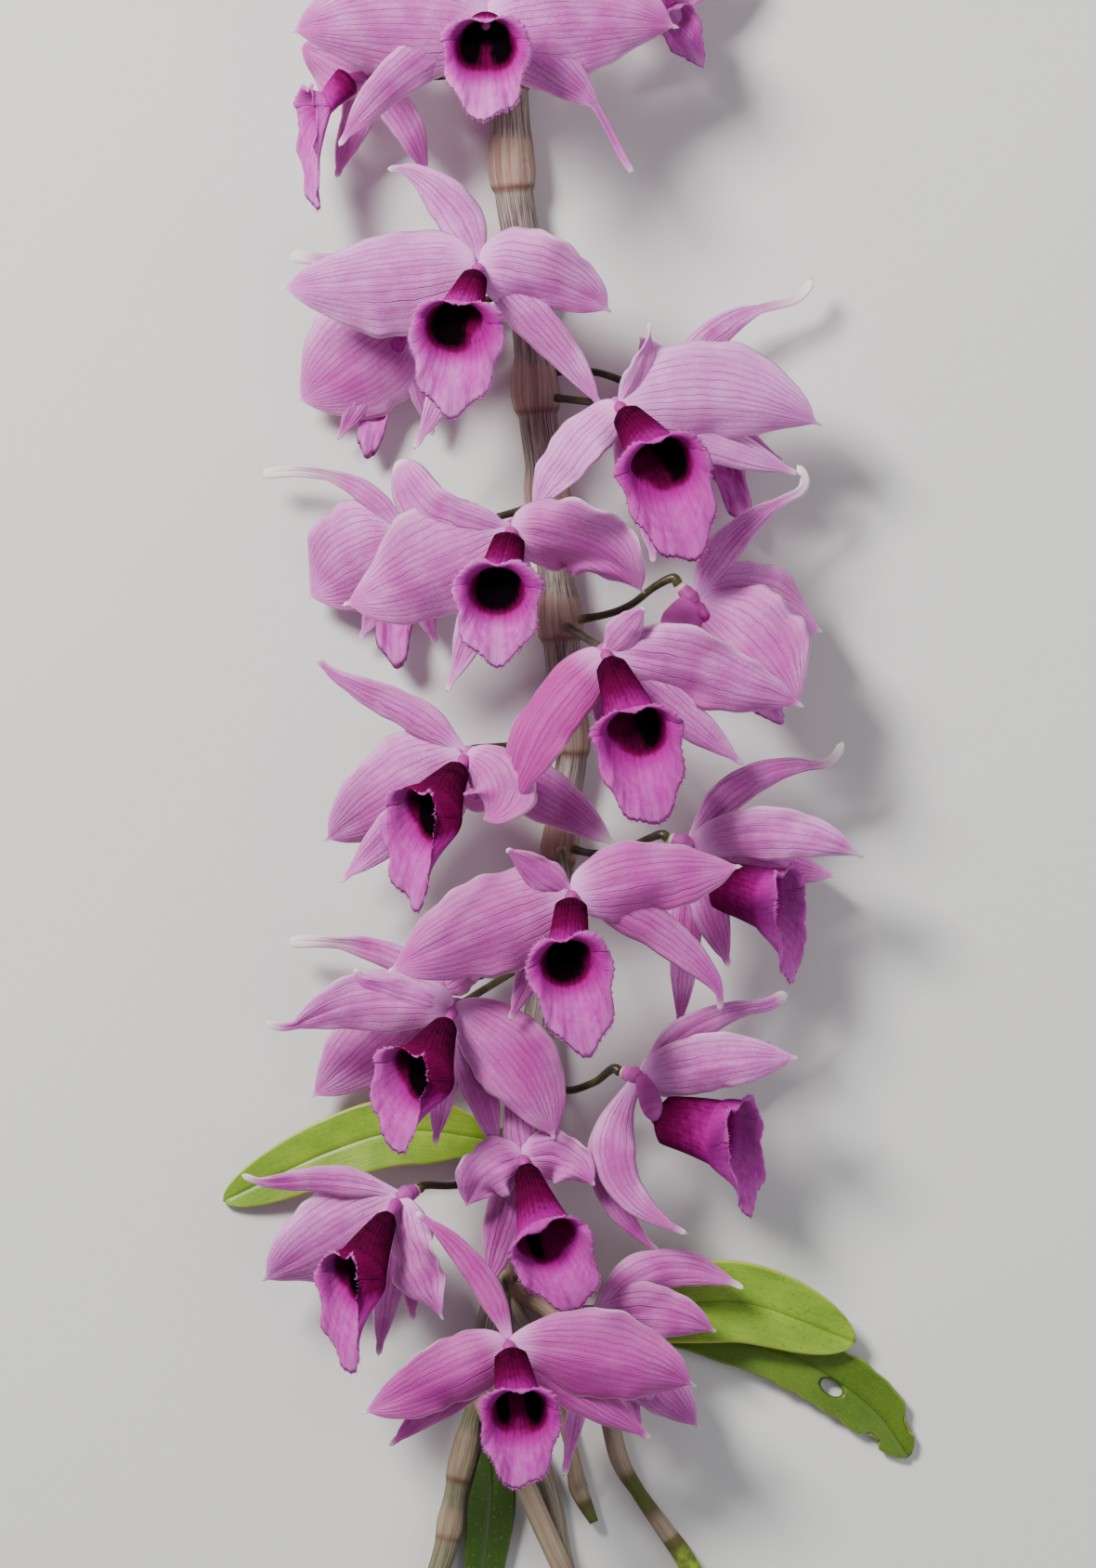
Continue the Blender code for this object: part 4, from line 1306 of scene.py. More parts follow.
BLOOMS = (
    Bloom(
        "bloom_01", (-22, 182, 44), 190,
        (
            Tepal((-4, 46, -5), 15),
            Tepal((-39, -31, -8), 14, -4, 3, -15),
            Tepal((38, -30, -9), 17, 2, hook=(0, -8, 0), beak=0.28),
        ),
        (Tepal((-52, -1, -6), 31, -3, 4), Tepal((50, 0, -6), 31, 3, 4)),
        Lip((0, -25, 14), 25, mouth=(-0.5, -4.2, 11), wide=(0.46, 0.46), top=6.8, dark=(1.25, 1.25),
            column=0.3, mid=0.7, heart=0.28, low=0.1, start=(-0.5, 0.6, 5)),
        ((-20, 186, 26),),
        deep=0.04,
    ),
    Bloom(
        "bloom_02", (-53, 170, 20.5), 168,
        (Tepal((-9, 32, -6), 11), Tepal((15, -26, -8), 10, 2), Tepal((-9, -26, -11), 9.5)),
        (Tepal((-18, 9, -6), 19, 0, 1), Tepal((24, 17, -5), 16, 0, 3)),
        Lip((-13, -35, 2), 15, (-0.8, 0.1, 0.6), (-14, -8, 3), (-0.85, 0.1, 0.5), (0.25, 0.6), (0.0, 1.0),
            6, neck=4, rise=(2, 0), pale=0.7),
        ((-38, 170, 10),),
        deep=0.2,
    ),
    Bloom(
        "bloom_03", (20, 194, 20), 190,
        (Tepal((4, 34, -6), 11), Tepal((12, -20, -9), 9), Tepal((-14, -18, -8), 11)),
        (Tepal((22, 8, -5), 18), Tepal((-22, 8, -4), 16)),
        Lip((13, -21, 0), 12, (0.5, 0, 0.8), mouth=(7, -9, 0), **REAR),
        ((8, 193, 12),),
    ),
    Bloom(
        "bloom_04", (-24.5, 120, 38), 113,
        (
            Tepal((-23.5, 28, -4), 12.5, -5, curl=25),
            Tepal((-17, -47, -9), 11, 2, 0),
            Tepal((32.5, -37, -8), 12, 2),
        ),
        (
            Tepal((-52, -5, -5), 25, 0, 4, skew=-0.16),
            Tepal((35, -11.5, -3), 22, 3, 5, fold=0.35, twist=20, wave=1.4, blush=0.4),
        ),
        Lip((-7, -38.5, 8), 24.5, mouth=(-5.3, -14.4, 10), top=6.5, dark=(0.4, 1.25), neck=2.6, deep=0.05),
        ((-20, 120, 22),),
        deep=-0.1,
    ),
    Bloom(
        "bloom_05", (-43, 107, 16), 113,
        (
            Tepal((-31.4, 17.5, -4), 9.5, -4, white=0.3, beak=0.1, nib=1.8),
            Tepal((-19, -31, -9), 11),
            Tepal((6, -30, -9), 10),
        ),
        (Tepal((-29, -21, -8), 31, 1, 3, full=0.15, blush=0.1), Tepal((18, 12, -5), 14)),
        Lip((-11, -36, -9), 9, mouth=(-7, -16, -8), **REAR),
        ((-32, 108, 9),),
        deep=0.05,
    ),
    Bloom(
        "bloom_06", (12, 84.5, 34), 84,
        (
            Tepal((8, 22, 2), 10, -3, 2, 10, 60, white=0.16, nib=1.6),
            Tepal((47, -17.5, -10), 13),
            Tepal((9, -41, -9), 12, 2, 0),
        ),
        (Tepal((53, -5, -5), 25, 5, 4, skew=-0.1), Tepal((-23, -28, -3), 14, -3, 3, 20, 30)),
        Lip((18.5, -40.5, 8), 24.5, mouth=(10.8, -14.9, 10), top=7.5, dark=(1.2, 0.65), mid=0.75,
            girth=0.23, neck=3.0, deep=0.45),
        ((5, 86, 17), (9, 85, 22)),
        deep=-0.3,
    ),
    Bloom(
        "bloom_07", (26, 84, 13), 90,
        (
            Tepal((40, 28.5, -3), 9.5, 9.4, 3, curl=60, white=0.34, beak=0.25, nib=1.4),
            Tepal((30, -14, -6), 11),
            Tepal((6, -28, -7), 10),
        ),
        (Tepal((19, 15.5, -1), 14, 2), Tepal((-9, 20, -5), 13)),
        Lip((19, -30, -3), 9, mouth=(13, -12, -4), **REAR),
        ((6, 94, 8), (16, 91, 8)),
        deep=0.05,
    ),
    Bloom(
        "bloom_08", (-16, 52, 42), 56,
        (
            Tepal((-30.5, 13, -3), 14, 2, 4, skew=-0.35, hook=(0, 5, 0), beak=0.0, fold=-0.4, full=0.8),
            Tepal((-17, -42, -9), 11, 0, 0),
            Tepal((2, -32, -9), 10, 0, 0),
        ),
        (
            Tepal((-44, -19, -5), 28, 1, 4, skew=0.1, full=0.1),
            Tepal((35, -16, 0), 25, 4, 7, 8, 25, fold=0.55, wave=3.0, deep=0.35, blush=0.6, full=0.3),
        ),
        Lip((-4, -34.5, 8), 23, mouth=(-3.4, -14.6, 10), top=8, dark=(1.0, 1.1)),
        ((-12, 59, 26),),
        deep=0.1,
    ),
    Bloom(
        "bloom_09", (-44, 50, 15), 56,
        (
            Tepal((-38, 17.5, -4), 6.5, -7.5, white=0.6, beak=0.3, nib=1.5),
            Tepal((-12, -26, -9), 10),
            Tepal((8, -27, -9), 10),
        ),
        (Tepal((-25, -15, -8), 30, -2, 3, full=0.3), Tepal((20, 10, -5), 15)),
        Lip((-2, -33, -6), 11, mouth=(-3, -15, -6), **REAR),
        ((-32, 53, 8),),
        deep=0.1,
    ),
    Bloom(
        "bloom_10", (32, 33.5, 23), 25,
        (
            Tepal((35.5, 31, -2), 9.5, 6.4, 3, curl=115, white=0.3, beak=0.25, nib=1.3),
            Tepal((24, -28, -2), 12, 2, 2),
            Tepal((20, -28, -13), 12),
        ),
        (
            Tepal((27, -27, 9), 25, 1, 7, skew=-0.35, wave=1.8, blush=0.8, full=0.1),
            Tepal((33, -7, -6), 25, 2, 3, full=0.25, blush=0.0),
        ),
        Lip((22, -31, -9), 9, mouth=(11, -17, -8), **REAR),
        ((8.5, 31, 14), (15, 33.5, 17), (21, 38, 20), (27, 39, 22)),
        (-6, -9, 0),
        deep=0.12, plump=1.45,
    ),
    Bloom(
        "bloom_11", (8.5, 20.5, 46), 25,
        (
            Tepal((10, 12, 9), 10, 0, 1, deep=0.2),
            Tepal((36, -29, -9), 13),
            Tepal((3, -38, -10), 11, 0, 0),
        ),
        (
            Tepal((51.5, -17, -4), 17.5, 4, 4, hook=(0, 3, 0), fold=0.5, wave=1.6, blush=0.7),
            Tepal((-25, -42, -1), 16, -6, 4, 15, skew=-0.2, deep=0.75, fold=0.3),
        ),
        Lip((12, -44.5, 8), 23.5, mouth=(7.8, -19.8, 10), top=6.5, dark=(1.2, 0.65), mid=0.75,
            girth=0.23, neck=3.2, deep=0.5),
        ((6, 24, 30),),
        deep=0.12,
    ),
    Bloom(
        "bloom_12", (-28, -6, 32), -5,
        (
            Tepal((-40, 20, -3), 10, -4, 2, hook=(-1, 3, 0), curl=-35),
            Tepal((-33, -33, -9), 13),
            Tepal((40, -24, -7), 16, 2, 3, white=0.2),
        ),
        (
            Tepal((-37, -22, -9), 27, 0, 1, full=0.1),
            Tepal((5, -17, 11), 21, 5, 9, 5, 25, wave=2.4, full=0.7, deep=0.15, blush=0.4),
        ),
        Lip((-12, -39.5, 8), 21, mouth=(-10.3, -15, 13), gaze=(-0.55, 0.1, 0.8), wide=(0.22, 0.62),
            girth=0.32, neck=2.4, start=(-0.5, -2, 6), **LEFTWARD),
        ((-8, -2, 12), (-16, -3, 16), (-24, -3, 20)),
        deep=0.12,
    ),
    Bloom(
        "bloom_13", (31, -29, 24), -33,
        (
            Tepal((43, 19.5, -3), 9.5, 9, 3, curl=80, white=0.24, beak=0.15, nib=1.3),
            Tepal((10, -32, 3), 12),
            Tepal((-3, -49, -10), 10),
        ),
        (Tepal((44.5, -3, 9), 13, 5, 8, white=0.15), Tepal((38, -8, -14), 12, 0, -4)),
        Lip((25, -36, -3), 20, mouth=(22.5, -14.2, 3), wide=(0.6, 0.3), girth=0.37, rise=(0, 2.5),
            start=(4.3, -9.8, 1), deep=0.3, **RIGHTWARD),
        ((6, -31, 14), (15, -29, 18), (22, -26, 22)),
        deep=0.08,
    ),
    Bloom(
        "bloom_14", (-0.5, -41.5, 50), -33,
        (
            Tepal((-17, 12, 7), 10, 0, 1),
            Tepal((42.5, -29, -8), 12, 5, curl=-40),
            Tepal((-16, -33, -10), 11, 0, 0),
        ),
        (
            Tepal((-48, -20, -4), 25, -1, 4, wave=1.5),
            Tepal((44.5, 7.5, -3), 19, 1, 4, wave=1.4, blush=0.4),
        ),
        Lip((4.5, -41, 8), 22, mouth=(-0.9, -16.6, 10), top=7, dark=(0.8, 1.2), deep=0.3),
        ((-2, -38, 34),),
        deep=0.46,
    ),
    Bloom(
        "bloom_15", (-31, -71, 33), -60,
        (
            Tepal((-28, 8, -2), 9, curl=-60),
            Tepal((-5, -36, -10), 10, 0, 0),
            Tepal((12.5, -39.5, -9), 11, 0, 0),
        ),
        (
            Tepal((-48, -9, -8), 15, -6, 2, curl=-55, white=0.12, beak=0.15, nib=1.1),
            Tepal((26.5, -34.5, -3), 21, 5, 4, full=0.5, deep=0.15),
        ),
        Lip((-13, -37.5, 8), 21, mouth=(-9.5, -17.4, 13), gaze=(-0.5, 0.1, 0.85), wide=(0.2, 0.64),
            girth=0.32, neck=2.4, start=(-0.8, -2.5, 6), **LEFTWARD),
        ((-26, -68, 18),),
        deep=0.2,
    ),
    Bloom(
        "bloom_16", (-35, -65, 14), -60,
        (
            Tepal((-40, 11, -3), 7.5, -4, white=0.5, beak=0.2, nib=1.6),
            Tepal((-16, -33, -8), 10),
            Tepal((-5, -29, -8), 9),
        ),
        (Tepal((-33.5, -30, -7), 22, 0, 3), Tepal((14, 10, -4), 12)),
        Lip((-12, -28, -3), 12, mouth=(-6, -13, -3), **REAR),
        ((-26, -64, 7),),
        deep=0.15,
    ),
    Bloom(
        "bloom_17", (18, -89, 26), -86,
        (
            Tepal((39.5, 18.5, -3), 8.5, 6, 3, curl=40, white=0.1, beak=0.1, nib=1.9),
            Tepal((12.5, -41, 2), 12, -13),
            Tepal((6, -47, -9), 10, -12),
        ),
        (Tepal((40.5, 5.5, 10), 15, 2, 8), Tepal((34, 9, -14), 14, 0, -4)),
        Lip((27.5, -35.5, -3), 21, mouth=(23.5, -14.6, 3), wide=(0.62, 0.3), girth=0.38, rise=(0, 2.0),
            start=(3.2, -10.5, 0), deep=0.4, **RIGHTWARD),
        ((-3, -92, 13), (5, -90.5, 18), (11, -87, 22)),
        (3.5, -10.5, 6),
        deep=0.12, plump=0.7,
    ),
    Bloom(
        "bloom_18", (-45, -120, 26), -113,
        (
            Tepal((-42, 0, -3), 8, -4.5, 2, hook=(0, 2, 0), curl=-45, white=0.12),
            Tepal((-6, -42, -10), 10, 0, 0),
            Tepal((3, -33, -14), 10, 0, 0),
        ),
        (Tepal((-36, -22, -9), 24, 0, 1, full=0.15), Tepal((12, -32, 3), 13, -2, 4, 15, 30, wave=2.0)),
        Lip((-11.5, -45, 8), 19, mouth=(-12.6, -20.6, 13), gaze=(-0.6, 0.1, 0.78), wide=(0.2, 0.58),
            girth=0.34, neck=2.2, start=(-2, -3.5, 6), **LEFTWARD),
        ((-28, -116.5, 14), (-36, -116, 19)),
        deep=0.15,
    ),
    Bloom(
        "bloom_19", (-13, -110, 26), -113,
        (
            Tepal((-3, 20, -4), 9),
            Tepal((-10, -35.5, -8), 12, 0, 0),
            Tepal((11, -32, -9), 10, 0, 0),
        ),
        (Tepal((19, -7, 2), 13, 4, wave=1.8), Tepal((-15, -12.5, 2), 16, -3, 4, wave=2.0)),
        Lip((15.5, -38.5, 7), 22, mouth=(6.5, -21.6, 10), top=5.5, dark=(0.4, 1.25), mid=0.6,
            heart=0.24, girth=0.27, neck=2.6, bell=1.1, deep=0.45),
        ((-13, -109, 14),),
        deep=0.3,
    ),
    Bloom(
        "bloom_20", (-16.5, -157.5, 40), -142,
        (
            Tepal((-24.5, 34.5, -3), 8, -4),
            Tepal((-31.5, -27, -9), 12),
            Tepal((37, -25, -9), 13),
        ),
        (
            Tepal((-38.5, -18, -4), 17, 0, 4, wave=1.4),
            Tepal((49, -11, -3), 22, 3, 4, full=0.8, wave=1.5, blush=0.4),
        ),
        Lip((3, -37, 8), 21, mouth=(2.8, -16.5, 10), top=6.5, dark=(1.15, 1.15), mid=0.55,
            heart=0.31, girth=0.22, deep=0.35),
        ((-16, -154, 24),),
        deep=0.65,
    ),
    Bloom(
        "bloom_21", (6.5, -151, 20), -142,
        (
            Tepal((39, 7, -2), 13, 9, white=0.12),
            Tepal((-8.5, -42.5, -9), 7),
            Tepal((12, -30, -9), 10),
        ),
        (Tepal((31, -4, -2), 14, 3), Tepal((26.5, -29.5, -5), 17)),
        Lip((14, -21, 0), 12, mouth=(8, -10, 0), **(REAR | {"dark": (0.5, 0.5), "mid": 0.5, "pale": 0.6})),
        ((-2, -148, 12),),
        deep=0.3,
    ),
)


# Stem and leaves


@dataclass
class Node:
    """A swollen joint of the cane: its sheath ends in a rim at y."""

    y: float
    x: float
    band: float  # radius under the sheath
    below: float  # radius of the bare cane below the rim
    length: float = 11.0  # of the sheath


@dataclass
class Cane:
    """The jointed cane, from its cut end to its tip."""

    top: Point = (205.0, -18.5, 5.3)  # y, x and radius of its cut end
    tip: Point = (-226.0, -38.0, 2.6)  # y, x and radius of its other end
    nodes: tuple[Node, ...] = (
        Node(190, -18.0, 6.2, 5.2),
        Node(168, -17.0, 6.2, 5.3),
        Node(142, -15.5, 6.2, 5.0, 13),
        Node(113, -11.5, 6.2, 5.0, 12),
        Node(84, -9.3, 6.4, 5.0, 12),
        Node(56, -6.0, 6.2, 4.7, 11),
        Node(25, -3.0, 6.2, 4.8, 11),
        Node(-5, -0.2, 4.9, 4.0, 10),
        Node(-33, -3.8, 5.0, 4.2, 10),
        Node(-60, -6.5, 4.8, 4.1, 9),
        Node(-86, -10.5, 4.8, 4.1, 9),
        Node(-113, -14.0, 4.6, 4.0, 9),
        Node(-142, -19.0, 4.4, 3.8, 9),
        Node(-171, -24.2, 4.2, 2.8, 9),
        Node(-194, -30.0, 3.7, 3.0, 13),
        Node(-209, -32.5, 3.7, 3.4, 8),
    )
    sides: int = 72
    spacing: float = 0.9  # of its rings
    old: float = -150.0  # below this height it turns thinner and more ashen
    fade: float = 20.0  # length over which it does so
    thin: float = 0.92  # share of its radius that is left there
    green_below: float = -172.0  # below this height it is greenish between its sheaths
    ribs: tuple[int, ...] = (17, 23, 29)  # how often each set of ribs comes round it
    rib_height: float = 0.045
    ground: float = 0.02  # its lowest points, just above the floor

    def rings(self) -> np.ndarray:
        """Its rings where its shape or look changes.

        Returns:
            Rows of x, y, z, radius, sheath share and rim share, from the cut end down.
        """
        flat = math.cos(math.pi / 8)  # the solid cane has eight sides and lies on one of them
        top_y, top_x, top_radius = self.top
        rows = [(top_x, top_y, self.nodes[0].band * flat, top_radius, 0.0, 0.0)]
        before, above = Node(top_y, top_x, 0.0, 0.0), top_radius
        for node in self.nodes:
            x, y, band = node.x, node.y, node.band
            start_x = between(x, before.x, node.length / (before.y - y))
            start_y = y + node.length
            z = band * flat
            rows += [
                (start_x, start_y + 2.5, z, above, 0.0, 0.0),
                (start_x, start_y, z, between(above, band, 0.4), 0.4, 0.0),
                (between(x, start_x, 0.75), start_y - 2.5, z, between(above, band, 0.85), 1.0, 0.0),
                (between(x, start_x, 0.35), y + 0.35 * node.length, z, 1.03 * band, 1.0, 0.0),
                (x, y + 1.4, z, 0.97 * band, 1.0, 0.0),
                (x, y + 0.5, z, 0.94 * band, 1.0, 0.6),
                (x, y - 0.1, z, between(band, node.below, 0.55), 0.6, 1.0),
                (x, y - 1.4, z, node.below, 0.0, 0.0),
            ]
            before, above = node, node.below
        tip_y, tip_x, tip_radius = self.tip
        rows.append((tip_x, tip_y, 1.1 * tip_radius, tip_radius, 0.0, 0.0))
        return np.array(rows)

    def centre(self, y: float) -> np.ndarray:
        """The middle of the cane at a height y along it."""
        rings = self.rings()[::-1]
        return sample(y, rings[:, 1], rings[:, :3])

    def build(self, finish: bpy.types.Material, draw: np.random.Generator) -> bpy.types.Object:
        """Builds the cane with its ribs and sheaths.

        Args:
            finish: the material.
            draw: source of where its ribs start.

        Returns:
            The piece.
        """
        rings = self.rings()[::-1]
        heights = rings[:, 1]
        ys = np.concatenate([np.arange(heights[0], heights[-1], self.spacing), heights])
        ys = np.unique(np.round(ys, 1))[::-1]
        radius, band, rim = sample(ys, heights, rings[:, 3:])
        x, z = smoothed(ys, heights, rings[:, [0, 2]])
        old = ease((self.old - ys) / self.fade)
        radius = radius * between(1.0, self.thin, old)
        around = (np.arange(self.sides) + 0.5) / self.sides
        angles = TURN * around[None, :]
        ribs = np.zeros_like(angles)
        for count in self.ribs:
            ribs = ribs + self.rib_height * np.sin(count * angles + draw.uniform(0.0, TURN))
        y = ys[:, None]
        crumple = 0.16 * np.sin(3.0 * angles + 0.11 * y) + 0.1 * np.sin(7.0 * angles - 0.23 * y)
        sheath = band[:, None]
        radii = 0.985 * radius[:, None] + ribs * (1.0 - 0.5 * sheath) + crumple * sheath
        skin = Skin()
        skin.tube(np.stack([x, ys, z], axis=1), radii, self.sides, {
            "across": np.tile(around, len(ys)), "reach": ys, "heart": band, "tip": rim,
            "green": 0.35 * (1.0 - band) * (ys < self.green_below), "tone": old,
        })
        skin.lift(self.ground)
        return skin.piece("cane", finish)


@dataclass
class Shoot:
    """A slim side shoot."""

    points: tuple[Point, ...]  # of its middle line
    radii: tuple[float, ...]  # at even steps along it, as the next two
    band: tuple[float, ...]  # where it is sheathed
    green: tuple[float, ...]  # where it is green, and above 1 spotted with brighter green
    sides: int = 28
    ribs: int = 9
    rib_height: float = 0.03  # as a share of its radius
    tone: float = 0.7  # how ashen it is

    def add(self, skin: Skin) -> None:
        """Adds it to the others.

        Args:
            skin: that of all the shoots.
        """
        line = smooth_line(np.array(self.points, float), 12)
        place = np.linspace(0.0, len(self.radii) - 1, len(line))
        rows = np.array((self.radii, self.band, self.green)).T
        radii, band, green = sample(place, np.arange(len(rows)), rows)
        around = (np.arange(self.sides) + 0.5) / self.sides
        band = ease((band - 0.3) / 0.4)
        green = np.where(green > 1.0, green, ease((green - 0.3) / 0.4))
        radii = radii[:, None] * (1.0 + self.rib_height * np.sin(self.ribs * TURN * around)[None, :])
        rim = np.abs(np.gradient(band)) * 2.4
        skin.tube(line, radii, self.sides, {
            "across": np.tile(around, len(line)), "reach": -line[:, 1], "heart": band, "green": green,
            "tip": np.clip(rim, 0.0, 1.0), "tone": self.tone,
        })


SHOOTS = (
    Shoot(
        ((-19, -142, 4), (-4, -152, 5), (7, -170, 6), (12, -188, 5), (17, -197, 4.5), (24, -207, 4.2),
         (29, -214, 4), (34, -224, 3.4)),
        (2.6, 2.4, 2.4, 2.5, 1.9, 2.3, 2.6, 2.9),
        (1.0, 1.0, 1.0, 1.0, 0.0, 1.0, 0.0, 0.0),
        (0.0, 0.0, 0.0, 0.0, 1.0, 0.0, 2.0, 2.0),
    ),
    Shoot(
        ((-25, -171, 4), (-20, -180, 7), (-13.5, -193, 9), (-4, -214, 7), (1, -226, 5)),
        (2.6, 2.9, 2.9, 2.8, 2.2),
        (1.0, 1.0, 1.0, 1.0, 1.0),
        (0.0, 0.0, 0.1, 0.15, 0.1),
    ),
    Shoot(
        ((-24, -168, 4), (-13, -180, 3), (-6, -196, 2.6), (-2.5, -214, 2.6), (3, -232, 2.6)),
        (2.2, 2.2, 2.4, 2.4, 1.8),
        (0.3, 0.3, 0.3, 0.3, 0.3),
        (0.0, 0.0, 0.2, 0.2, 0.2),
    ),
    Shoot(
        ((-19, -142, 4), (-8, -162, 3.5), (-1, -184, 3), (1.5, -196, 3), (5.5, -205, 3)),
        (1.8, 1.5, 1.5, 2.6, 1.2),
        (0.2, 0.2, 0.6, 1.0, 0.0),
        (0.2, 0.2, 0.2, 0.1, 1.2),
    ),
)


@dataclass
class Stalks:
    """All the flower stalks, from the cane's nodes to the ovaries."""

    run: float = 2.6  # straight length before each ovary
    root: float = 1.2  # from the cane's middle to the start of each
    rise: float = 4.0  # from the cane's node up to its stalk
    sides: int = 14

    def add(self, skin: Skin, bloom: Bloom, cane: Cane) -> None:
        """Adds the stalk of one bloom.

        Args:
            skin: that of all the stalks.
            bloom: what it carries.
            cane: where it starts.
        """
        back, end = bloom.back(), bloom.stalk_end()
        points = [vec(point) for point in bloom.stalk[:-1]] + [end + self.run * back]
        start = cane.centre(bloom.node_y + self.rise)
        start = start + self.root * unit(points[0] - start)
        line = smooth_line(np.vstack([start] + points + [end + 0.3 * back]), 10)
        share = np.linspace(0.0, 1.0, len(line))
        radii = between(1.0, 1.35, ease((share - 0.5) / 0.5)) * (1.0 + 0.5 * ease((0.16 - share) / 0.16))
        skin.tube(line, radii, self.sides, {"along": share})

    def build(self, cane: Cane, finish: bpy.types.Material) -> bpy.types.Object:
        """Builds them all as one piece.

        Args:
            cane: where they start.
            finish: the material.

        Returns:
            The piece.
        """
        skin = Skin()
        for bloom in BLOOMS:
            self.add(skin, bloom, cane)
        return skin.piece("stalks", finish)


@dataclass
class Leaf:
    """A strap-shaped leaf."""

    name: str
    midrib: tuple[Point, ...]  # points from its grip on the stem to its tip
    width: float
    grip: float  # breadth of its grip, as a share of its width
    spread: float  # share of its length where it reaches its full width
    blunt: float  # power by which it narrows to its tip
    dark: float = 0.0
    bites: tuple[tuple[float, float, float], ...] = ()  # share of length, side and depth of each
    hole: tuple[float, float, float, float] | None = None  # share, side, length and breadth, in mm
    columns: int = 41
    thickness: float = 1.1
    ground: float = 0.05  # its lowest points, just above the floor

    def build(self, finish: bpy.types.Material, draw: np.random.Generator) -> bpy.types.Object:
        """Builds the leaf, folded a little along its midrib.

        Args:
            finish: the material.
            draw: source of where its waves start.

        Returns:
            The piece.
        """
        line = smooth_line(np.array(self.midrib, float), 40)
        t = np.linspace(0.0, 1.0, len(line))[:, None]
        u = np.linspace(-1.0, 1.0, self.columns)[None, :]
        off = np.abs(u)
        along = unit(np.gradient(line, axis=0))
        across = unit(np.cross(along, UP))
        outline = between(self.grip, 1.0, ease(t / self.spread)) * (1.0 - t ** self.blunt).clip(0.0) ** 0.6
        half = np.maximum(0.5 * self.width * outline, 0.15)
        phase = draw.uniform(0.0, TURN)
        swell = np.sin(math.pi * t).clip(0.0)
        rise = 0.1 * half * off - 0.3 * np.exp(-((u * half) / 0.6) ** 2)
        rise = rise + 0.35 * np.sin(6.0 * t + phase + u) * off ** 2 * swell
        length = path_length(line)
        edge = np.ones((len(line), self.columns))
        for share, side, depth in self.bites:
            bitten = depth * np.exp(-(((t - share) * length / 4.0) ** 4)) * (u * side > 0)
            edge = edge - bitten * off ** 3
        if self.bites:
            edge = edge - 0.02 * (np.sin(40.0 * t + phase) + np.sin(73.0 * t)) * off ** 4
        breadth = u * half * edge
        gone, slide = None, np.zeros_like(edge)
        if self.hole:
            share, side, long, wide = self.hole
            far = np.hypot((t - share) * length / long, (breadth - side) / wide)
            gone = far < 1.25
            pull = np.where((far > 0.7) & gone, 1.0 / far.clip(0.1) - 1.0, 0.0)
            slide = pull * (t - share) * length
            breadth = breadth + pull * (breadth - side)
        grid = line[:, None] + breadth[..., None] * across[:, None] + rise[..., None] * UP
        grid = grid + slide[..., None] * along[:, None]
        values = {"across": u, "along": t, "half": half, "reach": t * length, "tone": self.dark}
        skin = Skin()
        skin.blade(grid, self.thickness, values, gone=gone)
        skin.lift(self.ground)
        return skin.piece(f"{self.name}_blade", finish)


LEAVES = (
    Leaf(
        "leaf_left", ((-18, -106, 5), (-42, -103, 6.5), (-62, -108, 6), (-91, -121.5, 1.2)),
        18, 0.4, 0.3, 6.0,
    ),
    Leaf(
        "leaf_right_front", ((1, -160, 8.1), (15, -151.5, 10), (43, -147.5, 9), (73.5, -158, 6)),
        22, 0.12, 0.62, 7.0, 0.05,
    ),
    Leaf(
        "leaf_right_rear",
        ((2, -157, 2.9), (20, -154, 2.4), (50, -159, 3), (66, -166.5, 2.6), (79, -176.5, 2),
         (87.5, -188, 1.2)),
        17.5, 0.15, 0.5, 7.0, 0.6, ((0.9, -1, 0.35), (0.86, 1, 0.35), (0.62, -1, 0.1)),
        (0.635, 2.3, 3.8, 1.8),
    ),
    Leaf("leaf_bottom", ((-21.1, -184, 2.2), (-21.1, -200, 3), (-26, -240, 1.2)), 14, 0.4, 0.6, 3.0, 0.9),
)


# Stage


@dataclass
class Lamp:
    """A soft square light that shines on the middle of the stem. Its sizes are in metres and watts."""

    name: str
    place: Point
    size: float
    power: float
    colour: Colour

    def build(self) -> None:
        """Hangs the light."""
        light = bpy.data.lights.new(self.name, "AREA")
        light.size, light.energy, light.color = self.size, self.power, self.colour
        lamp = bpy.data.objects.new(self.name, light)
        lamp.location = self.place
        lamp.rotation_euler = Vector(self.place).to_track_quat("Z", "Y").to_euler()
        bpy.context.scene.collection.objects.link(lamp)


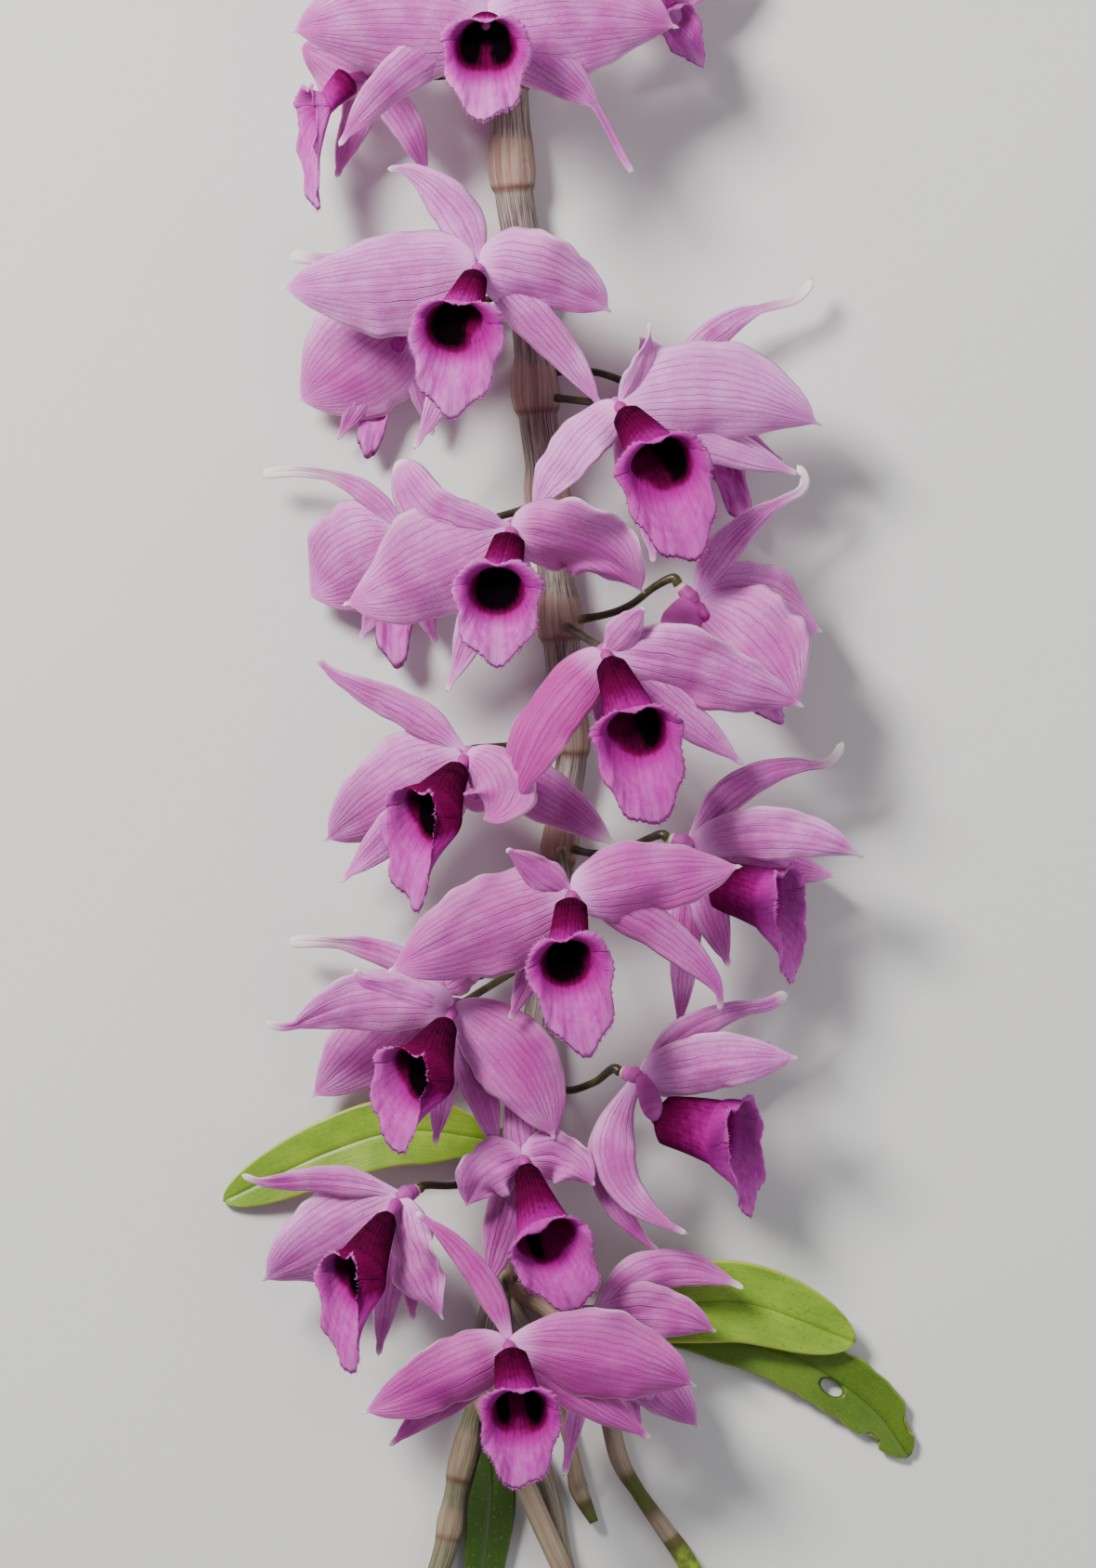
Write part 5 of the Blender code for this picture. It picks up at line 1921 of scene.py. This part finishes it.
@dataclass
class Stage:
    """The pale floor, the lights and the camera that looks straight down."""

    lamps: tuple[Lamp, ...] = (
        Lamp("key", (-0.7, 0.75, 1.0), 0.4, 32.0, (1.0, 0.98, 0.95)),
        Lamp("fill", (0.9, -0.3, 0.9), 1.0, 4.5, (0.95, 0.97, 1.0)),
    )
    glow: tuple[float, float, float, float] = (0.92, 0.94, 1.0, 1.0)  # colour from all round
    glow_strength: float = 0.24
    middle: Point = (-6.48, -12.96, 30.0)  # what the camera looks at
    distance: float = 3900.0  # from there to the camera
    lens: float = 346.6
    sight: float = 20.0  # how far the camera sees, in metres
    floor_half: float = 4.0  # half of the floor's side, in metres
    floor_height: float = -0.0003  # in metres

    def floor(self) -> None:
        """Lays the floor."""
        mesh = bpy.data.meshes.new("floor")
        corners = [
            (x * self.floor_half, y * self.floor_half, self.floor_height)
            for x, y in ((-1, -1), (1, -1), (1, 1), (-1, 1))
        ]
        mesh.from_pydata(corners, [], [(0, 1, 2, 3)])
        mesh.materials.append(FloorFinish().build())
        floor = bpy.data.objects.new("floor", mesh)
        bpy.context.scene.collection.objects.link(floor)

    def camera(self) -> None:
        """Places the camera and makes it the scene's own."""
        view = bpy.data.cameras.new("camera")
        view.lens, view.clip_end = self.lens, self.sight
        camera = bpy.data.objects.new("camera", view)
        x, y, z = self.middle
        camera.location = (x * MM, y * MM, (z + self.distance) * MM)
        bpy.context.scene.collection.objects.link(camera)
        bpy.context.scene.camera = camera

    def build(self) -> None:
        """Lays the floor, hangs the lights and places the camera."""
        self.floor()
        for lamp in self.lamps:
            lamp.build()
        world = bpy.data.worlds.new("studio")
        world.use_nodes = True
        background = world.node_tree.nodes["Background"]
        background.inputs["Color"].default_value = self.glow
        background.inputs["Strength"].default_value = self.glow_strength
        bpy.context.scene.world = world
        self.camera()


def main() -> None:
    """Builds every piece in order and reports it."""
    logging.basicConfig(level=logging.INFO, format="%(message)s")
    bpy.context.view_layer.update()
    Stage().build()
    tepal, velvet = TepalFinish().build(), LipFinish().build()
    cane_finish, leaf_finish = CaneFinish().build(), LeafFinish().build()
    cane = Cane()
    mount(cane.build(cane_finish, np.random.default_rng(1)), "cane", "stem")
    shoots = Skin()
    for shoot in SHOOTS:
        shoot.add(shoots)
    mount(shoots.piece("shoots", cane_finish), "cane")
    mount(Stalks().build(cane, StalkFinish().build()), "cane")
    for seed, leaf in enumerate(LEAVES, 50):
        mount(leaf.build(leaf_finish, np.random.default_rng(seed)), "leaf", leaf.name)
    for seed, bloom in enumerate(BLOOMS, 100):
        draw = np.random.default_rng(seed)
        mount(bloom.perianth(tepal, draw), "perianth", f"{bloom.name}_perianth")
        mount(bloom.velvet(velvet, draw), "lip", f"{bloom.name}_lip")
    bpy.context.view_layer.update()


if __name__ == "__main__":
    main()
